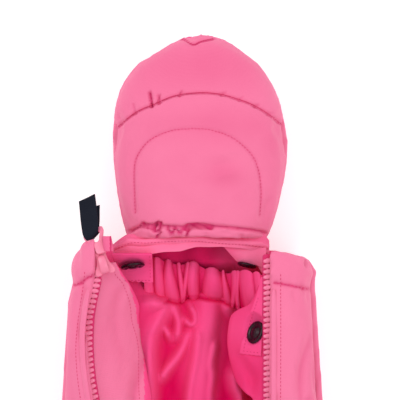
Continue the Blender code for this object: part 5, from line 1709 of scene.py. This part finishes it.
# %% Pads and sheets take their places
for pad in PADS:
    piece = pads[pad.name]
    rest_flat(piece)
    finished(piece, SHELL, pad.nodes)
FACED = 3.6  # mm past its stitches where the outer facing's lining begins
INSIDES = {"foot_left_upper": lambda at, facing: (facing[:, 2] < -0.2) & (at[:, 2] > 20.0),
           "foot_left_sole": lambda at, facing: (facing[:, 2] > 0.3) & (np.abs(at[:, 0] - 4.0) < 34.0),
           "leg_left_back": lambda at, facing: (facing[:, 2] > 0.1) & (np.abs(at[:, 0]) < 58.0),
           "leg_left_outer": lambda at, facing: facing[:, 2] < -0.2,
           "leg_left_inner": lambda at, facing: facing[:, 2] < -0.2}
for name, chosen in INSIDES.items():
    lined(pads[name], LINING, chosen)
lined(pads["torso_back"], LINING,
      lambda at, facing: (facing[:, 2] > 0.4) & (np.abs(at[:, 0] - 2.0) < 26.0), BODY)
for piece, *nodes in ((foot_lining,), (loose,), (lining, "lining_left_leg"), (gaiter, "gaiter_band"),
                      (facing_outer, "facing_outer"), (facing_inner, "facing_inner"),
                      (tab_outer, "gaiter_tab_outer"), (tab_inner, "gaiter_tab_inner")):
    finished(piece, LINING, nodes)
facing_outer.data.materials[0] = SHELL
lined(facing_outer, LINING, lambda at, facing: at[:, 0] > np.interp(at[:, 1], *FLAP_STITCH) + FACED)
finished(fleece, FLEECE, ["fleece_band"])
finished(tongue, FLEECE, ["fleece_gusset"])
for word in ZIP_SIDES:
    finished(chains[word], TEETH, ["zip_chain_" + word])
    finished(tapes[word], TAPE, ["zip_tape_" + word])
    finished(pipings[word], SHELL, ["zip_guard_" + word])
finished(tape_end, TAPE)
finished(slider, LACQUER, ["slider"])
finished(pull, LACQUER, ["pull"], "pull")
finished(webbing, WEBBING, ["puller_tape"], "pull")
for word, piece in snaps.items():
    finished(piece, SNAP, ["snap_" + word])
for seam in seams:
    finished(seam, THREAD)

# %% How the thin cloth was cut
CM2 = 0.0001
Cut = namedtuple("Cut", "piece wide long area held on")
CUTS = table(Cut, (lining, 0.135, 0.250, 0.0291, "laid", ["leg_left_back"]),
             (loose, 0.104, 0.136, 0.0140, "laid", [lining]),
             (foot_lining, 0.085, 0.085, 0.0070, "laid", ["foot_left_sole"]),
             (gaiter, 0.131, 0.0213, 0.00279, "gathered", [lining]),
             (facing_outer, 0.030, 0.205, 0.00537, "draped", [tapes["outer"]]),
             (facing_inner, 0.024, 0.190, 0.00381, "draped", [tapes["inner"]]),
             (tab_outer, 0.024, 0.021, 0.00049, "draped", [facing_outer]),
             (tab_inner, 0.014, 0.046, 0.00049, "draped", [facing_inner]),
             (fleece, 0.094, 0.018, 0.00163, "folded", ["foot_left_ankle"]),
             (tongue, 0.026, 0.013, 0.00028, "hung", ["foot_left_ankle"]),
             (tapes["outer"], 0.012, 0.700, 0.00296, "laid", ["torso_back"]),
             (tapes["inner"], 0.012, 0.680, 0.00302, "laid", ["torso_back"]),
             (tape_end, 0.019, 0.010, 0.00016, "folded", [tapes["outer"]]),
             (webbing, 0.010, 0.049, 0.00046, "folded", [pull]))
for cut in CUTS:
    print(cut.piece.name, "measures", round(measured_area(cut.piece) / CM2, 1), "cm2, cut",
          round(cut.area / CM2, 1))
